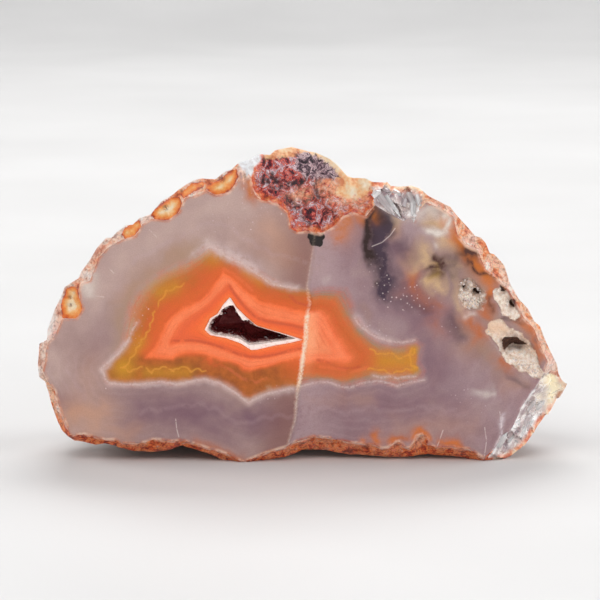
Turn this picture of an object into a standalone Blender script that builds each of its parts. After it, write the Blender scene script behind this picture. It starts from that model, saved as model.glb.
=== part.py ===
"""Half of a banded agate nodule, sawn and polished across the front, standing on its rind.

The stone is one solid: a flat polished face that is broken by a step along an old crack, a rough
rind that rolls back from the face's edge, a patch of matrix and two chipped corners, and a domed
lumpy back. A second solid is the crust of small quartz crystals in the hollow of the face.

The outlines are drawn on a sheet in millimetres, u to the right and v down, as the face is seen
from the front. On the stone, X is to the right, Z is up and the face looks towards -Y. The origin
is at the middle of the underside.
"""

import math

import bpy
import numpy as np
from mathutils import Vector, noise
from mathutils.geometry import delaunay_2d_cdt

MM = 0.001

# Driving dimensions, in millimetres
SHEET_CENTRE_U = 30.4
SHEET_FOOT_V = 46.65
SHEET_RISE = 1.01  # the face was seen from a little above, which shortens its height
STONE_DEPTH = 21.0
STEP_DEPTH = 0.45  # the face right of the crack lies this much lower
STEP_WIDTH = 0.5
CRUST_GAP = 0.32
CRUST_DEPTH = 6.0
CRUST_THICKNESS = 0.7
FOOT_FLAT = 0.25  # how far the lowest lumps are worn away

# Mesh spacing, in millimetres
RIM_COUNT = 132
DOME_SPACING = 0.8
EDGE_SPACING = 0.95
ROUGH_SPACING = 0.8
HOLLOW_COUNT = 40

SILHOUETTE = [
    (3.65, 36.6), (3.85, 34.5), (4.6, 34.2), (4.65, 33.2), (5.4, 31.1), (6.0, 29.9), (6.4, 28.9),
    (6.8, 28.6), (7.85, 27.9), (8.1, 27.3), (8.85, 26.3), (9.7, 24.9), (10.6, 23.9), (11.2, 23.85),
    (11.7, 23.3), (12.6, 22.7), (13.3, 22.6), (14.0, 21.9), (15.1, 21.5), (16.1, 20.4), (17.1, 19.8),
    (17.9, 19.1), (18.7, 18.6), (19.5, 18.2), (20.2, 18.05), (21.6, 18.1), (22.5, 17.4), (23.1, 17.2),
    (23.7, 16.6), (24.3, 16.3), (25.1, 16.1), (25.8, 15.7), (27.0, 15.8), (27.5, 15.4), (29.1, 15.15),
    (30.8, 15.6), (31.4, 15.65), (32.1, 16.0), (33.0, 16.4), (33.7, 16.9), (34.7, 17.9), (35.3, 18.15),
    (36.6, 18.2), (37.2, 18.5), (38.7, 18.6), (39.1, 18.95), (40.0, 19.0), (41.1, 18.85), (42.0, 19.1),
    (42.8, 19.75), (45.0, 20.85), (46.1, 22.2), (47.6, 23.85), (48.1, 23.95), (48.6, 24.5), (49.0, 25.5),
    (49.5, 25.7), (50.5, 26.8), (51.0, 28.4), (51.9, 30.0), (52.9, 31.1), (53.5, 32.3), (54.1, 32.8),
    (54.7, 34.35), (55.9, 36.8), (56.1, 37.8), (56.4, 38.4), (57.1, 39.1), (56.7, 40.2), (55.5, 42.0),
    (54.1, 43.6), (52.8, 45.0), (51.3, 45.8), (49.6, 46.25), (47.7, 46.1), (46.2, 45.9), (44.1, 46.0),
    (43.0, 45.85), (40.2, 46.2), (37.1, 46.05), (35.1, 46.05), (32.8, 45.55), (30.2, 45.5), (29.2, 45.95),
    (27.0, 46.25), (25.1, 46.6), (24.2, 46.65), (22.3, 46.4), (21.0, 45.7), (19.0, 45.1), (18.1, 44.8),
    (17.4, 45.0), (16.6, 45.4), (15.5, 45.6), (13.3, 45.5), (11.2, 44.85), (10.3, 44.6), (9.4, 44.8),
    (7.2, 44.3), (6.0, 43.3), (5.55, 42.3), (5.0, 40.75), (4.4, 38.3), (3.75, 37.9),
]

# The edge of the polished face, inside the rind, the matrix patch and the chipped corners
FACE_EDGE = [
    (4.5, 35.2), (4.8, 34.2), (5.3, 33.8), (5.8, 32.8), (6.2, 31.9), (7.6, 31.9), (8.3, 30.9), (8.0, 30.0),
    (7.9, 29.0), (8.2, 28.3), (9.0, 28.1), (9.5, 26.8), (9.9, 25.8), (10.8, 24.8), (12.2, 24.0),
    (13.6, 23.6), (14.3, 22.4), (15.2, 21.9), (16.8, 22.05), (18.0, 21.2), (18.4, 20.1), (18.6, 19.8),
    (19.6, 19.6), (20.7, 19.1), (21.6, 19.6), (22.9, 19.25), (23.9, 18.0), (24.1, 17.2), (24.4, 18.1),
    (24.9, 17.4), (25.15, 17.8), (25.25, 18.8), (25.6, 19.6), (26.2, 20.05), (27.8, 20.4), (28.8, 21.4),
    (29.1, 22.9), (29.7, 23.2), (30.9, 23.1), (32.0, 23.45), (33.4, 22.7), (34.2, 21.7), (35.4, 21.3),
    (36.6, 21.7), (37.5, 20.6), (38.8, 21.4), (40.3, 22.2), (40.9, 21.8), (41.4, 22.2), (41.8, 21.2),
    (42.6, 20.3), (44.1, 20.95), (45.3, 21.7), (45.7, 23.5), (46.7, 24.7), (47.8, 25.1), (48.2, 26.2),
    (48.6, 27.0), (49.9, 28.1), (50.8, 29.0), (51.8, 30.5), (52.4, 31.8), (53.5, 33.0), (54.1, 34.6),
    (54.9, 36.3), (54.5, 37.5), (53.4, 39.2), (52.3, 40.8), (51.6, 42.4), (51.2, 43.1), (50.5, 43.4),
    (49.7, 44.7), (48.5, 45.7), (47.6, 45.2), (47.0, 44.9), (44.6, 44.9), (43.8, 45.0), (43.0, 44.7),
    (42.8, 44.0), (42.4, 43.65), (41.8, 43.85), (41.5, 44.5), (41.0, 45.1), (40.5, 44.9), (40.0, 44.4),
    (39.4, 44.5), (38.9, 45.0), (38.3, 45.1), (37.5, 44.7), (35.2, 44.5), (33.2, 44.05), (31.4, 43.85),
    (29.7, 44.35), (28.4, 44.9), (26.4, 45.4), (24.9, 45.95), (24.2, 46.2), (22.9, 45.55), (20.6, 44.95),
    (18.8, 44.35), (18.1, 44.15), (17.2, 44.3), (15.2, 44.05), (14.4, 44.4), (12.4, 44.5), (11.4, 44.1),
    (10.4, 44.15), (8.3, 43.55), (6.9, 43.65), (6.3, 42.1), (5.75, 40.6), (5.4, 39.2), (4.7, 38.2),
    (4.2, 37.1), (4.5, 36.1),
]

# The old crack, top to bottom: the face steps down to its right
CRACK = [(31.4, 23.6), (31.0, 26.0), (30.6, 28.6), (30.9, 30.4), (30.5, 31.8), (30.4, 34.0), (30.1, 36.0),
         (29.8, 38.2), (29.5, 40.0), (29.4, 42.0), (28.9, 43.8), (28.5, 45.0)]

HOLLOW_CENTRE = (24.3, 33.1)
HOLLOW_MOUTH = [
    (20.45, 33.0), (21.0, 31.85), (21.7, 31.45), (22.3, 30.5), (23.0, 29.7), (23.6, 30.7), (24.6, 31.7),
    (25.7, 32.6), (27.2, 33.05), (28.6, 33.45), (30.3, 34.0), (29.1, 34.3), (27.4, 34.6), (25.7, 35.0),
    (25.1, 35.05), (24.1, 34.4), (22.6, 33.85), (21.0, 33.55),
]
# The hollow's wall in the stone: shares of its width and the depth that each is reached at
HOLLOW_WALL = [(1.0, 0.0), (0.97, 3.4), (0.86, 5.4), (0.5, 6.6), (0.0, 6.9)]
# How wide the opening between the crystals is, as a share of the mouth, by direction in degrees
CRUST_OPENING = [(-180, 0.88), (-120, 0.86), (-105, 0.70), (-90, 0.62), (-75, 0.72), (-40, 0.90), (0, 0.86),
                 (30, 0.74), (80, 0.72), (110, 0.70), (150, 0.72), (180, 0.88)]

# The point of the face that the back closes in on, and how far its hindmost point lies from there
DOME_MIDDLE = (31.2, 32.2)
DOME_SHIFT = (-1.4, 1.6)

# Each small cavity: its middle, its outline's radii, its turn in degrees and its depth
CAVITIES = [
    (51.9, 35.3, 1.75, 1.1, 38, 1.7),
    (47.6, 29.3, 0.45, 0.4, 0, 1.1),
    (51.3, 30.4, 0.4, 0.55, 30, 0.8),
]

# Where the rough border is steeper or flatter than usual: middle, reach and slope
USUAL_SLOPE = 0.85
SLOPES = [((31.0, 19.0), 6.5, 0.52), ((40.0, 20.3), 3.0, 0.75), ((54.5, 41.5), 4.5, 1.25), ((4.0, 36.5), 2.2, 0.7)]

# Lumps that the stone stands on: place in X and depth from the face, width and drop
FEET = [(-10.5, 13.0, 3.4, 1.5), (8.5, 13.5, 3.4, 1.5), (18.6, 3.0, 3.0, 0.7), (-5.6, 2.0, 2.5, 0.3)]

STONE_COLOUR = (0.47, 0.30, 0.27, 1.0)
CRUST_COLOUR = (0.80, 0.70, 0.68, 1.0)


def closed_ring(points, count):
    """The closed outline through the points, read at this many evenly spaced places."""
    corners = np.array(points + points[:1], float)
    along = np.concatenate([[0], np.cumsum(np.linalg.norm(np.diff(corners, axis=0), axis=1))])
    places = np.arange(count) * along[-1] / count
    return np.stack([np.interp(places, along, corners[:, k]) for k in (0, 1)], 1)


def ring_length(points):
    corners = np.array(points + points[:1], float)
    return np.linalg.norm(np.diff(corners, axis=0), axis=1).sum()


def distance_to_ring(spots, ring):
    """The distance from each spot to a closed outline."""
    nearest = np.full(len(spots), 1e9)
    for start, end in zip(ring, np.roll(ring, -1, axis=0)):
        along = end - start
        share = np.clip(((spots - start) @ along) / (along @ along), 0, 1)
        nearest = np.minimum(nearest, np.linalg.norm(spots - start - share[:, None] * along, axis=1))
    return nearest


def inside_ring(spots, ring):
    """Whether each spot lies inside a closed outline, by counting the sides to its right."""
    inside = np.zeros(len(spots), bool)
    for (u0, v0), (u1, v1) in zip(ring, np.roll(ring, -1, axis=0)):
        if v0 == v1:
            continue
        crosses = (v0 > spots[:, 1]) != (v1 > spots[:, 1])
        cut = u0 + (spots[:, 1] - v0) * (u1 - u0) / (v1 - v0)
        inside ^= crosses & (spots[:, 0] < cut)
    return inside


def smooth_rise(share):
    """0 below 0, 1 above 1, and smooth between."""
    share = np.clip(share, 0, 1)
    return share * share * (3 - 2 * share)


def lumps(spots, size, seed):
    """Smooth noise from about -1 to 1 at each 3-D spot, with lumps of this size."""
    offset = Vector((seed * 17.3, seed * 5.1, seed * 9.7))
    return np.array([noise.noise(Vector(spot) / size + offset) for spot in spots])


def crack_u(v):
    line = np.array(CRACK)
    return np.interp(v, line[:, 1], line[:, 0])


def step_depth(spots):
    """The step along the crack, which the matrix patch and the rim end."""
    return STEP_DEPTH * smooth_rise((spots[:, 0] - crack_u(spots[:, 1])) / STEP_WIDTH)


def border_slope(spots):
    slope = np.full(len(spots), USUAL_SLOPE)
    for middle, reach, value in SLOPES:
        near = 1 - smooth_rise(np.linalg.norm(spots - np.array(middle), axis=1) / reach * 1.6 - 0.6)
        slope += near * (value - slope)
    return slope


def widened(ring, gap):
    """A clockwise outline moved outwards by this gap, less at its sharpest corners."""
    along = np.roll(ring, -1, axis=0) - ring
    outward = np.column_stack([along[:, 1], -along[:, 0]]) / np.linalg.norm(along, axis=1)[:, None]
    both = outward + np.roll(outward, 1, axis=0)
    return ring + both * gap / np.maximum((both * outward).sum(1), 0.25)[:, None]


def by_angle(ring, middle, values=None):
    """The directions of an outline's points from the middle, in order, and their distances or values."""
    away = ring - middle
    angles = np.arctan2(away[:, 1], away[:, 0])
    order = np.argsort(angles)
    return angles[order], (np.linalg.norm(away, axis=1) if values is None else values)[order]


def ring_share(spots, ring, middle):
    """How far each spot is from the middle, as a share of the way to the outline in its direction."""
    away = spots - middle
    reach = np.interp(np.arctan2(away[:, 1], away[:, 0]), *by_angle(ring, middle), period=2 * math.pi)
    return np.linalg.norm(away, axis=1) / reach


def cavity_share(spots, cavity):
    middle_u, middle_v, long_radius, short_radius, turn, _ = cavity
    angle = math.radians(turn)
    du, dv = spots[:, 0] - middle_u, spots[:, 1] - middle_v
    along = du * math.cos(angle) + dv * math.sin(angle)
    across = dv * math.cos(angle) - du * math.sin(angle)
    return np.hypot(along / long_radius, across / short_radius)


def cavity_ring(cavity, share, count):
    middle_u, middle_v, long_radius, short_radius, turn, _ = cavity
    angle = math.radians(turn)
    around = np.arange(count) * 2 * math.pi / count
    along, across = share * long_radius * np.cos(around), share * short_radius * np.sin(around)
    return np.stack([middle_u + along * math.cos(angle) - across * math.sin(angle),
                     middle_v + along * math.sin(angle) + across * math.cos(angle)], 1)


def face_depth(spots, edge, mouth):
    """How far the front surface lies behind the polished plane, at each spot of the sheet."""
    rough = ~inside_ring(spots, edge)
    away = distance_to_ring(spots, edge) * rough
    depth = step_depth(spots)
    depth += 0.15 * (1 - np.exp(-away / 0.2)) + border_slope(spots) * away
    flat = np.column_stack([spots, np.zeros(len(spots))])
    depth += smooth_rise(away / 1.2) * 0.45 * lumps(flat, 1.9, 1)
    for cavity in CAVITIES:
        depth += cavity[5] * smooth_rise((1 - cavity_share(spots, cavity)) / 0.6)
    wall = np.array(HOLLOW_WALL[::-1])
    return np.maximum(depth, 0) + np.interp(ring_share(spots, mouth, HOLLOW_CENTRE), wall[:, 0], wall[:, 1])


def spread_points(ring, spacing, keep_away):
    """Points of a triangular grid inside an outline, and this far from its edge."""
    low, high = ring.min(0), ring.max(0)
    rows = []
    for n, v in enumerate(np.arange(low[1], high[1], spacing * 0.866)):
        us = np.arange(low[0] + spacing / 2 * (n % 2), high[0], spacing)
        rows.append(np.column_stack([us, np.full(len(us), v)]))
    grid = np.concatenate(rows)
    grid = grid[inside_ring(grid, ring)]
    return grid[distance_to_ring(grid, ring) > keep_away]


def ring_sides(rings):
    """The sides of closed outlines whose points are listed one after the other."""
    sides = []
    first = 0
    for ring in rings:
        sides += [(first + k, first + (k + 1) % len(ring)) for k in range(len(ring))]
        first += len(ring)
    return sides


def triangulated(groups, sides):
    """Points and triangles over the sheet, inside the first group, which is the rim."""
    points = np.concatenate(groups)
    found, _, faces, *_ = delaunay_2d_cdt([Vector(p) for p in points], sides, [], 0, 1e-7)
    spots = np.array([(p[0], p[1]) for p in found])
    middles = np.array([spots[list(face)].mean(0) for face in faces])
    return spots, [list(face) for face, keep in zip(faces, inside_ring(middles, groups[0])) if keep]


def front_sheet():
    """Points and triangles of the whole front, with edges along every outline. The rim comes first."""
    rim = closed_ring(SILHOUETTE, RIM_COUNT)
    edge = closed_ring(FACE_EDGE, round(ring_length(FACE_EDGE) / EDGE_SPACING))
    edge = edge[distance_to_ring(edge, rim) > 0.15]
    mouth = widened(closed_ring(HOLLOW_MOUTH, HOLLOW_COUNT), CRUST_GAP)
    groups = [rim, edge]
    groups += [HOLLOW_CENTRE + (mouth - HOLLOW_CENTRE) * share for share, _ in HOLLOW_WALL[:-1]]
    for cavity in CAVITIES:
        groups += [cavity_ring(cavity, 1.0, 12), cavity_ring(cavity, 0.4, 8)]
    sides = ring_sides(groups)
    line_v = np.arange(CRACK[0][1] + 0.3, CRACK[-1][1] - 0.3, 1.3)
    for offset in (0.0, STEP_WIDTH):
        line = np.column_stack([crack_u(line_v) + offset, line_v])
        line = line[(ring_share(line, mouth, HOLLOW_CENTRE) > 1.06) & inside_ring(line, edge)
                    & (distance_to_ring(line, edge) > 0.3)]
        first = sum(len(group) for group in groups)
        groups.append(line)
        sides += [(first + k, first + k + 1) for k in range(len(line) - 1)
                  if line[k + 1, 1] - line[k, 1] < 2]
    border = spread_points(rim, ROUGH_SPACING, 0.55)
    groups.append(border[~inside_ring(border, edge) & (distance_to_ring(border, edge) > 0.45)])
    groups.append(np.array([HOLLOW_CENTRE]))
    spots, triangles = triangulated(groups, sides)
    return spots, face_depth(spots, edge, mouth), triangles, rim


def on_stone(spots, depth):
    """Millimetres on the stone for sheet spots at this depth behind the polished plane."""
    return np.column_stack([spots[:, 0] - SHEET_CENTRE_U, depth, (SHEET_FOOT_V - spots[:, 1]) * SHEET_RISE])


def stand_on_feet(points):
    """Draws the underside down to the feet and wears their tips flat."""
    low = 1 - smooth_rise((points[:, 2] - 1.0) / 9.0)
    for foot_x, foot_y, width, drop in FEET:
        away = np.hypot(points[:, 0] - foot_x, points[:, 1] - foot_y)
        points[:, 2] -= low * drop * np.exp(-((away / width) ** 2))
    points[:, 2] = np.maximum(points[:, 2], FOOT_FLAT)
    return points


def knobs(points, size):
    """Rounded knobs of about this size with creases between them, from 0 in a crease to 1 on top."""
    nearest = np.array([noise.voronoi(Vector(p) / size)[0][:2] for p in points])
    return smooth_rise((nearest[:, 1] - nearest[:, 0]) * 1.6)


def rim_reach(rim, angles, spread):
    """The rim's distance from the dome's middle in these directions, evened out over this many degrees."""
    around = np.radians(np.arange(-180, 180))
    reach = np.interp(around, *by_angle(rim, DOME_MIDDLE), period=2 * math.pi)
    if spread:
        steps = np.arange(-3 * spread, 3 * spread + 1)
        weights = np.exp(-((steps / spread) ** 2))
        reach = sum(w * np.roll(reach, step) for w, step in zip(weights, steps)) / weights.sum()
    return np.interp(angles, around, reach, period=2 * math.pi)


def dome_points(spots, rim, rim_depth):
    """Where the back lies over these sheet spots. It is flat below, so that the stone stands on it,
    and slopes in from the rim elsewhere."""
    away = spots - DOME_MIDDLE
    angles = np.arctan2(away[:, 1], away[:, 0])
    turn = (1 - ring_share(spots, rim, DOME_MIDDLE)).clip(0.015, 1) * math.pi / 2
    reach = rim_reach(rim, angles, 0)
    down = smooth_rise(np.sin(angles) * reach / 12.0)
    for spread, begin in ((5, 0.0), (16, 0.35)):
        reach += (rim_reach(rim, angles, spread) - reach) * smooth_rise((turn - begin) / (0.5 - 0.35 * down))
    start = 0.22 * (1 - down)
    power = 2 / (2.1 + 1.5 * down)
    quarter = math.pi / 2
    turned = start + (quarter - start) * (turn / quarter) ** (1 / np.sqrt(power))
    narrowing = (np.cos(turned) / np.cos(start)).clip(0) ** power
    deepening = ((np.sin(turned) - np.sin(start)) / (1 - np.sin(start))).clip(0, 1) ** power
    u = DOME_MIDDLE[0] + DOME_SHIFT[0] * deepening + np.cos(angles) * reach * narrowing
    v = DOME_MIDDLE[1] + DOME_SHIFT[1] * deepening + np.sin(angles) * reach * narrowing
    begin = np.interp(angles, *by_angle(rim, DOME_MIDDLE, rim_depth), period=2 * math.pi)
    points = on_stone(np.column_stack([u, v]), begin + (STONE_DEPTH - begin) * deepening)
    middle = on_stone(np.array([DOME_MIDDLE]), np.zeros(1))
    outward = (points - middle) / np.array([26.0, STONE_DEPTH, 15.0]) ** 2
    outward /= np.linalg.norm(outward, axis=1)[:, None]
    height = 0.9 * lumps(points, 7.5, 2) + 0.55 * knobs(points, 4.6) + 0.25 * lumps(points, 2.6, 3) - 0.6
    return points + outward * (height * smooth_rise(turn / 0.45))[:, None]


def add_object(name, points, faces, colour, roughness):
    mesh = bpy.data.meshes.new(name)
    mesh.from_pydata([tuple(p * MM) for p in points], [], faces)
    mesh.update()
    mesh.shade_flat()
    material = bpy.data.materials.new(name)
    material.use_nodes = True
    shader = material.node_tree.nodes["Principled BSDF"]
    shader.inputs["Base Color"].default_value = colour
    shader.inputs["Roughness"].default_value = roughness
    mesh.materials.append(material)
    obj = bpy.data.objects.new(name, mesh)
    bpy.context.scene.collection.objects.link(obj)
    return obj


def bridge(first, second, count):
    """Triangles between two rings of points, each given by the index where it starts."""
    faces = []
    for k in range(count):
        after = (k + 1) % count
        faces.append([first + k, first + after, second + after])
        faces.append([first + k, second + after, second + k])
    return faces


def stone():
    """The stone's points and triangles: the front sheet and the dome behind it, which share the rim."""
    spots, depth, triangles, rim = front_sheet()
    front = on_stone(spots, depth)
    within = spread_points(rim, DOME_SPACING, 0.6)
    _, dome_triangles = triangulated([rim, within], ring_sides([rim]))
    first = len(front) - len(rim)
    faces = [face[::-1] for face in triangles]
    faces += [[k if k < len(rim) else first + k for k in face] for face in dome_triangles]
    return stand_on_feet(np.concatenate([front, dome_points(within, rim, depth[: len(rim)])])), faces


def crust_opening(angles):
    table = np.array(CRUST_OPENING, float)
    return np.interp(np.degrees(angles), table[:, 0], table[:, 1])


def crust():
    """The crust's points and triangles: an outer cup that follows the hollow, and an inner one with
    the crystals' tips, joined round the mouth."""
    mouth = closed_ring(HOLLOW_MOUTH, HOLLOW_COUNT) - HOLLOW_CENTRE
    angles = np.arctan2(mouth[:, 1], mouth[:, 0])
    opening = crust_opening(angles)
    outer = [(0.97, 0.1), (0.92, 2.6), (0.82, 4.5), (0.5, 5.6)]
    inner = [(0.0, 0.12), (-0.03, 0.9), (-0.05, 1.9), (-0.12, 3.1), (-0.28, 4.2)]
    rings = [np.column_stack([HOLLOW_CENTRE + mouth * share, np.full(len(mouth), depth)])
             for share, depth in outer]
    tips = []
    for ring, (change, depth) in enumerate(inner):
        tooth = np.where((np.arange(len(mouth)) + ring) % 2, 0.035, -0.03) * (ring > 0)
        share = (opening + change + tooth)[:, None]
        tips.append(np.column_stack([HOLLOW_CENTRE + mouth * share, np.full(len(mouth), depth)]))
    points = np.concatenate(rings + [[(*HOLLOW_CENTRE, CRUST_DEPTH)]] + tips
                            + [[(*HOLLOW_CENTRE, CRUST_DEPTH - CRUST_THICKNESS)]])
    count = len(mouth)
    faces = []
    for ring in range(len(outer) - 1):
        faces += bridge(ring * count, (ring + 1) * count, count)
    pole = len(outer) * count
    last = pole - count
    faces += [[last + k, last + (k + 1) % count, pole] for k in range(count)]
    first_tip = pole + 1
    faces += bridge(first_tip, 0, count)
    for ring in range(len(inner) - 1):
        faces += bridge(first_tip + (ring + 1) * count, first_tip + ring * count, count)
    last_tip = first_tip + (len(inner) - 1) * count
    faces += [[last_tip + (k + 1) % count, last_tip + k, last_tip + count] for k in range(count)]
    return on_stone(points[:, :2], points[:, 2]), faces


def main():
    for obj in list(bpy.data.objects):
        bpy.data.objects.remove(obj)
    stone_points, stone_faces = stone()
    crust_points, crust_faces = crust()
    low, high = stone_points.min(0), stone_points.max(0)
    origin = np.array([(low[0] + high[0]) / 2, (low[1] + high[1]) / 2, low[2]])
    add_object("agate", stone_points - origin, stone_faces, STONE_COLOUR, 0.35)
    add_object("druse_crust", crust_points - origin, crust_faces, CRUST_COLOUR, 0.5)


main()
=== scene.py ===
"""The half nodule as a finished stone on a pale floor, seen from just above its polished face.

The stone's outlines are drawn on a sheet in millimetres, u to the right and v down, as the face is
seen from the front, and every spot of the sheet is put on the stone from the model's own box. The
bands and marks are distances to listed lines, kept as attributes that the materials colour.
"""

import math
import random

import bpy
import numpy as np
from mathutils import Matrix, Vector, kdtree, noise
from mathutils.geometry import delaunay_2d_cdt


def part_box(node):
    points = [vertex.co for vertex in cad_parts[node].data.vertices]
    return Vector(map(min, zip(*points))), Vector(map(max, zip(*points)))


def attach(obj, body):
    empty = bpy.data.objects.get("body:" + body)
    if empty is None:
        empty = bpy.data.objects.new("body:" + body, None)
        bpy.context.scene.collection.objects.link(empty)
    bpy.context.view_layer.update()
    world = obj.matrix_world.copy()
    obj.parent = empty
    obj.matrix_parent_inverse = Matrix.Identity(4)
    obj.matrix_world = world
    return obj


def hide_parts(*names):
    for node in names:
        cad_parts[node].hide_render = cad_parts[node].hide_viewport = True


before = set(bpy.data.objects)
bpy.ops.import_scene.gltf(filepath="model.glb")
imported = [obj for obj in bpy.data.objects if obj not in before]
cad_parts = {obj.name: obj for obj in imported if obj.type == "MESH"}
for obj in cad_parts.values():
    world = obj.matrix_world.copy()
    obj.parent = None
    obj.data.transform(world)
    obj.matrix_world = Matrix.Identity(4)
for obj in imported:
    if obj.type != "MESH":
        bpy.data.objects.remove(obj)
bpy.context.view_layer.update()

MM = 0.001
STONE_LOW = np.array(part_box("agate")[0]) / MM

# Shape of the stone, in millimetres, as in its solids
SHEET_RISE = 1.01
SHEET_LEFT = 3.65
SHEET_CENTRE_U = 30.4
SHEET_FOOT_V = 46.65
STEP_DEPTH = 0.45
STEP_WIDTH = 0.5
MOUTH_GAP = 0.02
FOOT_FLAT = 0.25
STONE_DEPTH = 21.0
HOLLOW_WALL = [(1.0, 0.0), (0.97, 3.4), (0.86, 5.4), (0.5, 6.6), (0.0, 6.9)]
HOLLOW_CENTRE = (24.3, 33.1)
# How wide the opening between the crystals is, as a share of the mouth, by direction in degrees
CRUST_OPENING = [
    (-180, 0.95), (-135, 0.95), (-118, 0.84), (-104, 0.68), (-90, 0.6), (-76, 0.8), (-62, 0.96),
    (-45, 0.97), (0, 0.92), (20, 0.82), (60, 0.74), (90, 0.72), (120, 0.7), (150, 0.76), (170, 0.86),
    (180, 0.95),
]
# The crust's hidden outside, as shares of the mouth with their depths, and its two poles
CRUST_BACK = [(0.5, 5.6), (0.82, 4.5), (0.92, 2.6), (1.0, 0.12)]
CRUST_POLES = (6.0, 5.3)
# How the opening changes with depth
CRUST_NARROWING = [(0.1, 0.0), (0.9, -0.03), (1.9, -0.05), (3.1, -0.12), (4.2, -0.28)]
DOME_MIDDLE = (31.2, 32.2)
DOME_SHIFT = (-1.4, 1.6)
DOME_RADII = (26.0, STONE_DEPTH, 15.0)
# The small cavities: middle, long and short radius, turn in degrees, and depth
CAVITIES = [
    (51.9, 35.3, 1.75, 1.1, 38, 1.7),
    (47.6, 29.3, 0.45, 0.4, 0, 1.1),
    (46.4, 28.8, 0.25, 0.2, 20, 0.5),
    (51.3, 30.4, 0.4, 0.55, 30, 0.8),
]
# Lumps inside the large one: middle, reach and height
CAVITY_LUMPS = [(52.2, 35.8, 0.95, 1.0), (51.4, 35.3, 0.5, 0.5)]
# The cream quartz is granular left of this u, and where u and v add up to more than this
GRANULAR_LEFT = 49.0
GRANULAR_SUM = 87.0
# The small drop where the rough border begins, and how far it takes to fall
EDGE_DROP = 0.15
EDGE_ROUND = 0.2
# How steeply the rough border falls back, and the places where it differs: middle, reach and slope
USUAL_SLOPE = 0.85
SLOPES = [
    ((31, 19), 6.5, 0.52), ((40, 20.3), 3, 0.75), ((54.5, 41.5), 4.5, 1.25), ((4, 36.5), 2.2, 0.7),
]
# Where the underside is drawn down to stand: x, depth, width and drop, from the model's place
FEET = [(-10.5, 13.0, 3.4, 1.5), (8.5, 13.5, 3.4, 1.5), (18.6, 3.0, 3.0, 0.7), (-5.6, 2.0, 2.5, 0.3)]

# The spot of the sheet that the camera looks at, its degrees above level and its distance in metres
CAMERA_AIM = (30.0, 30.0)
CAMERA_ELEVATION = 9.0
CAMERA_DISTANCE = 0.35

# From the model's place to that of the sheet, for patterns that follow the solid
SOLID_OFFSET = np.array([SHEET_LEFT - SHEET_CENTRE_U, 0.0, FOOT_FLAT]) - (STONE_LOW[0], STONE_LOW[1], 0.0)

# The band value at the edge of the face, and how far from its outline a zone's margin is kept
FACE_END = 5.0
FAR = 1.5
QUARTZ_IOR = 1.54
# Size and height of the small arcs that the yellow and the lilac lines are made of
YELLOW_ARCS = (1.1, 0.22)
LILAC_ARCS = (2.3, 0.35)

# Mesh spacing, in millimetres, and how many steps and crystals the hollow and the cavities have
FACE_SPACING, LINE_SPACING, BACK_SPACING = 0.17, 0.16, 0.34
CRUST_STEPS, CRUST_RINGS = 170, 22
HOLLOW_CRYSTALS, CAVITY_CRYSTALS = 330, 300
# Points of the mouth in the stone's mesh, and the places round it that its crystals can stand in
MOUTH_POINTS = 90
MOUTH_DIRECTIONS = 360

SILHOUETTE = [
    (3.65, 36.6), (3.85, 34.5), (4.6, 34.2), (4.65, 33.2), (5.4, 31.1), (6, 29.9), (6.4, 28.9),
    (6.8, 28.6), (7.85, 27.9), (8.1, 27.3), (8.85, 26.3), (9.7, 24.9), (10.6, 23.9), (11.2, 23.85),
    (11.7, 23.3), (12.6, 22.7), (13.3, 22.6), (14, 21.9), (15.1, 21.5), (16.1, 20.4), (17.1, 19.8),
    (17.9, 19.1), (18.7, 18.6), (19.5, 18.2), (20.2, 18.05), (21.6, 18.1), (22.5, 17.4), (23.1, 17.2),
    (23.7, 16.6), (24.3, 16.3), (25.1, 16.1), (25.8, 15.7), (27, 15.8), (27.5, 15.4), (29.1, 15.15),
    (30.8, 15.6), (31.4, 15.65), (32.1, 16), (33, 16.4), (33.7, 16.9), (34.7, 17.9), (35.3, 18.15),
    (36.6, 18.2), (37.2, 18.5), (38.7, 18.6), (39.1, 18.95), (40, 19), (41.1, 18.85), (42, 19.1),
    (42.8, 19.75), (45, 20.85), (46.1, 22.2), (47.6, 23.85), (48.1, 23.95), (48.6, 24.5), (49, 25.5),
    (49.5, 25.7), (50.5, 26.8), (51, 28.4), (51.9, 30), (52.9, 31.1), (53.5, 32.3), (54.1, 32.8),
    (54.7, 34.35), (55.9, 36.8), (56.1, 37.8), (56.4, 38.4), (57.1, 39.1), (56.7, 40.2), (55.5, 42),
    (54.1, 43.6), (52.8, 45), (51.3, 45.8), (49.6, 46.25), (47.7, 46.1), (46.2, 45.9), (44.1, 46),
    (43, 45.85), (40.2, 46.2), (37.1, 46.05), (35.1, 46.05), (32.8, 45.55), (30.2, 45.5), (29.2, 45.95),
    (27, 46.25), (25.1, 46.6), (24.2, 46.65), (22.3, 46.4), (21, 45.7), (19, 45.1), (18.1, 44.8),
    (17.4, 45), (16.6, 45.4), (15.5, 45.6), (13.3, 45.5), (11.2, 44.85), (10.3, 44.6), (9.4, 44.8),
    (7.2, 44.3), (6, 43.3), (5.55, 42.3), (5, 40.75), (4.4, 38.3), (3.75, 37.9),
]
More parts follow.
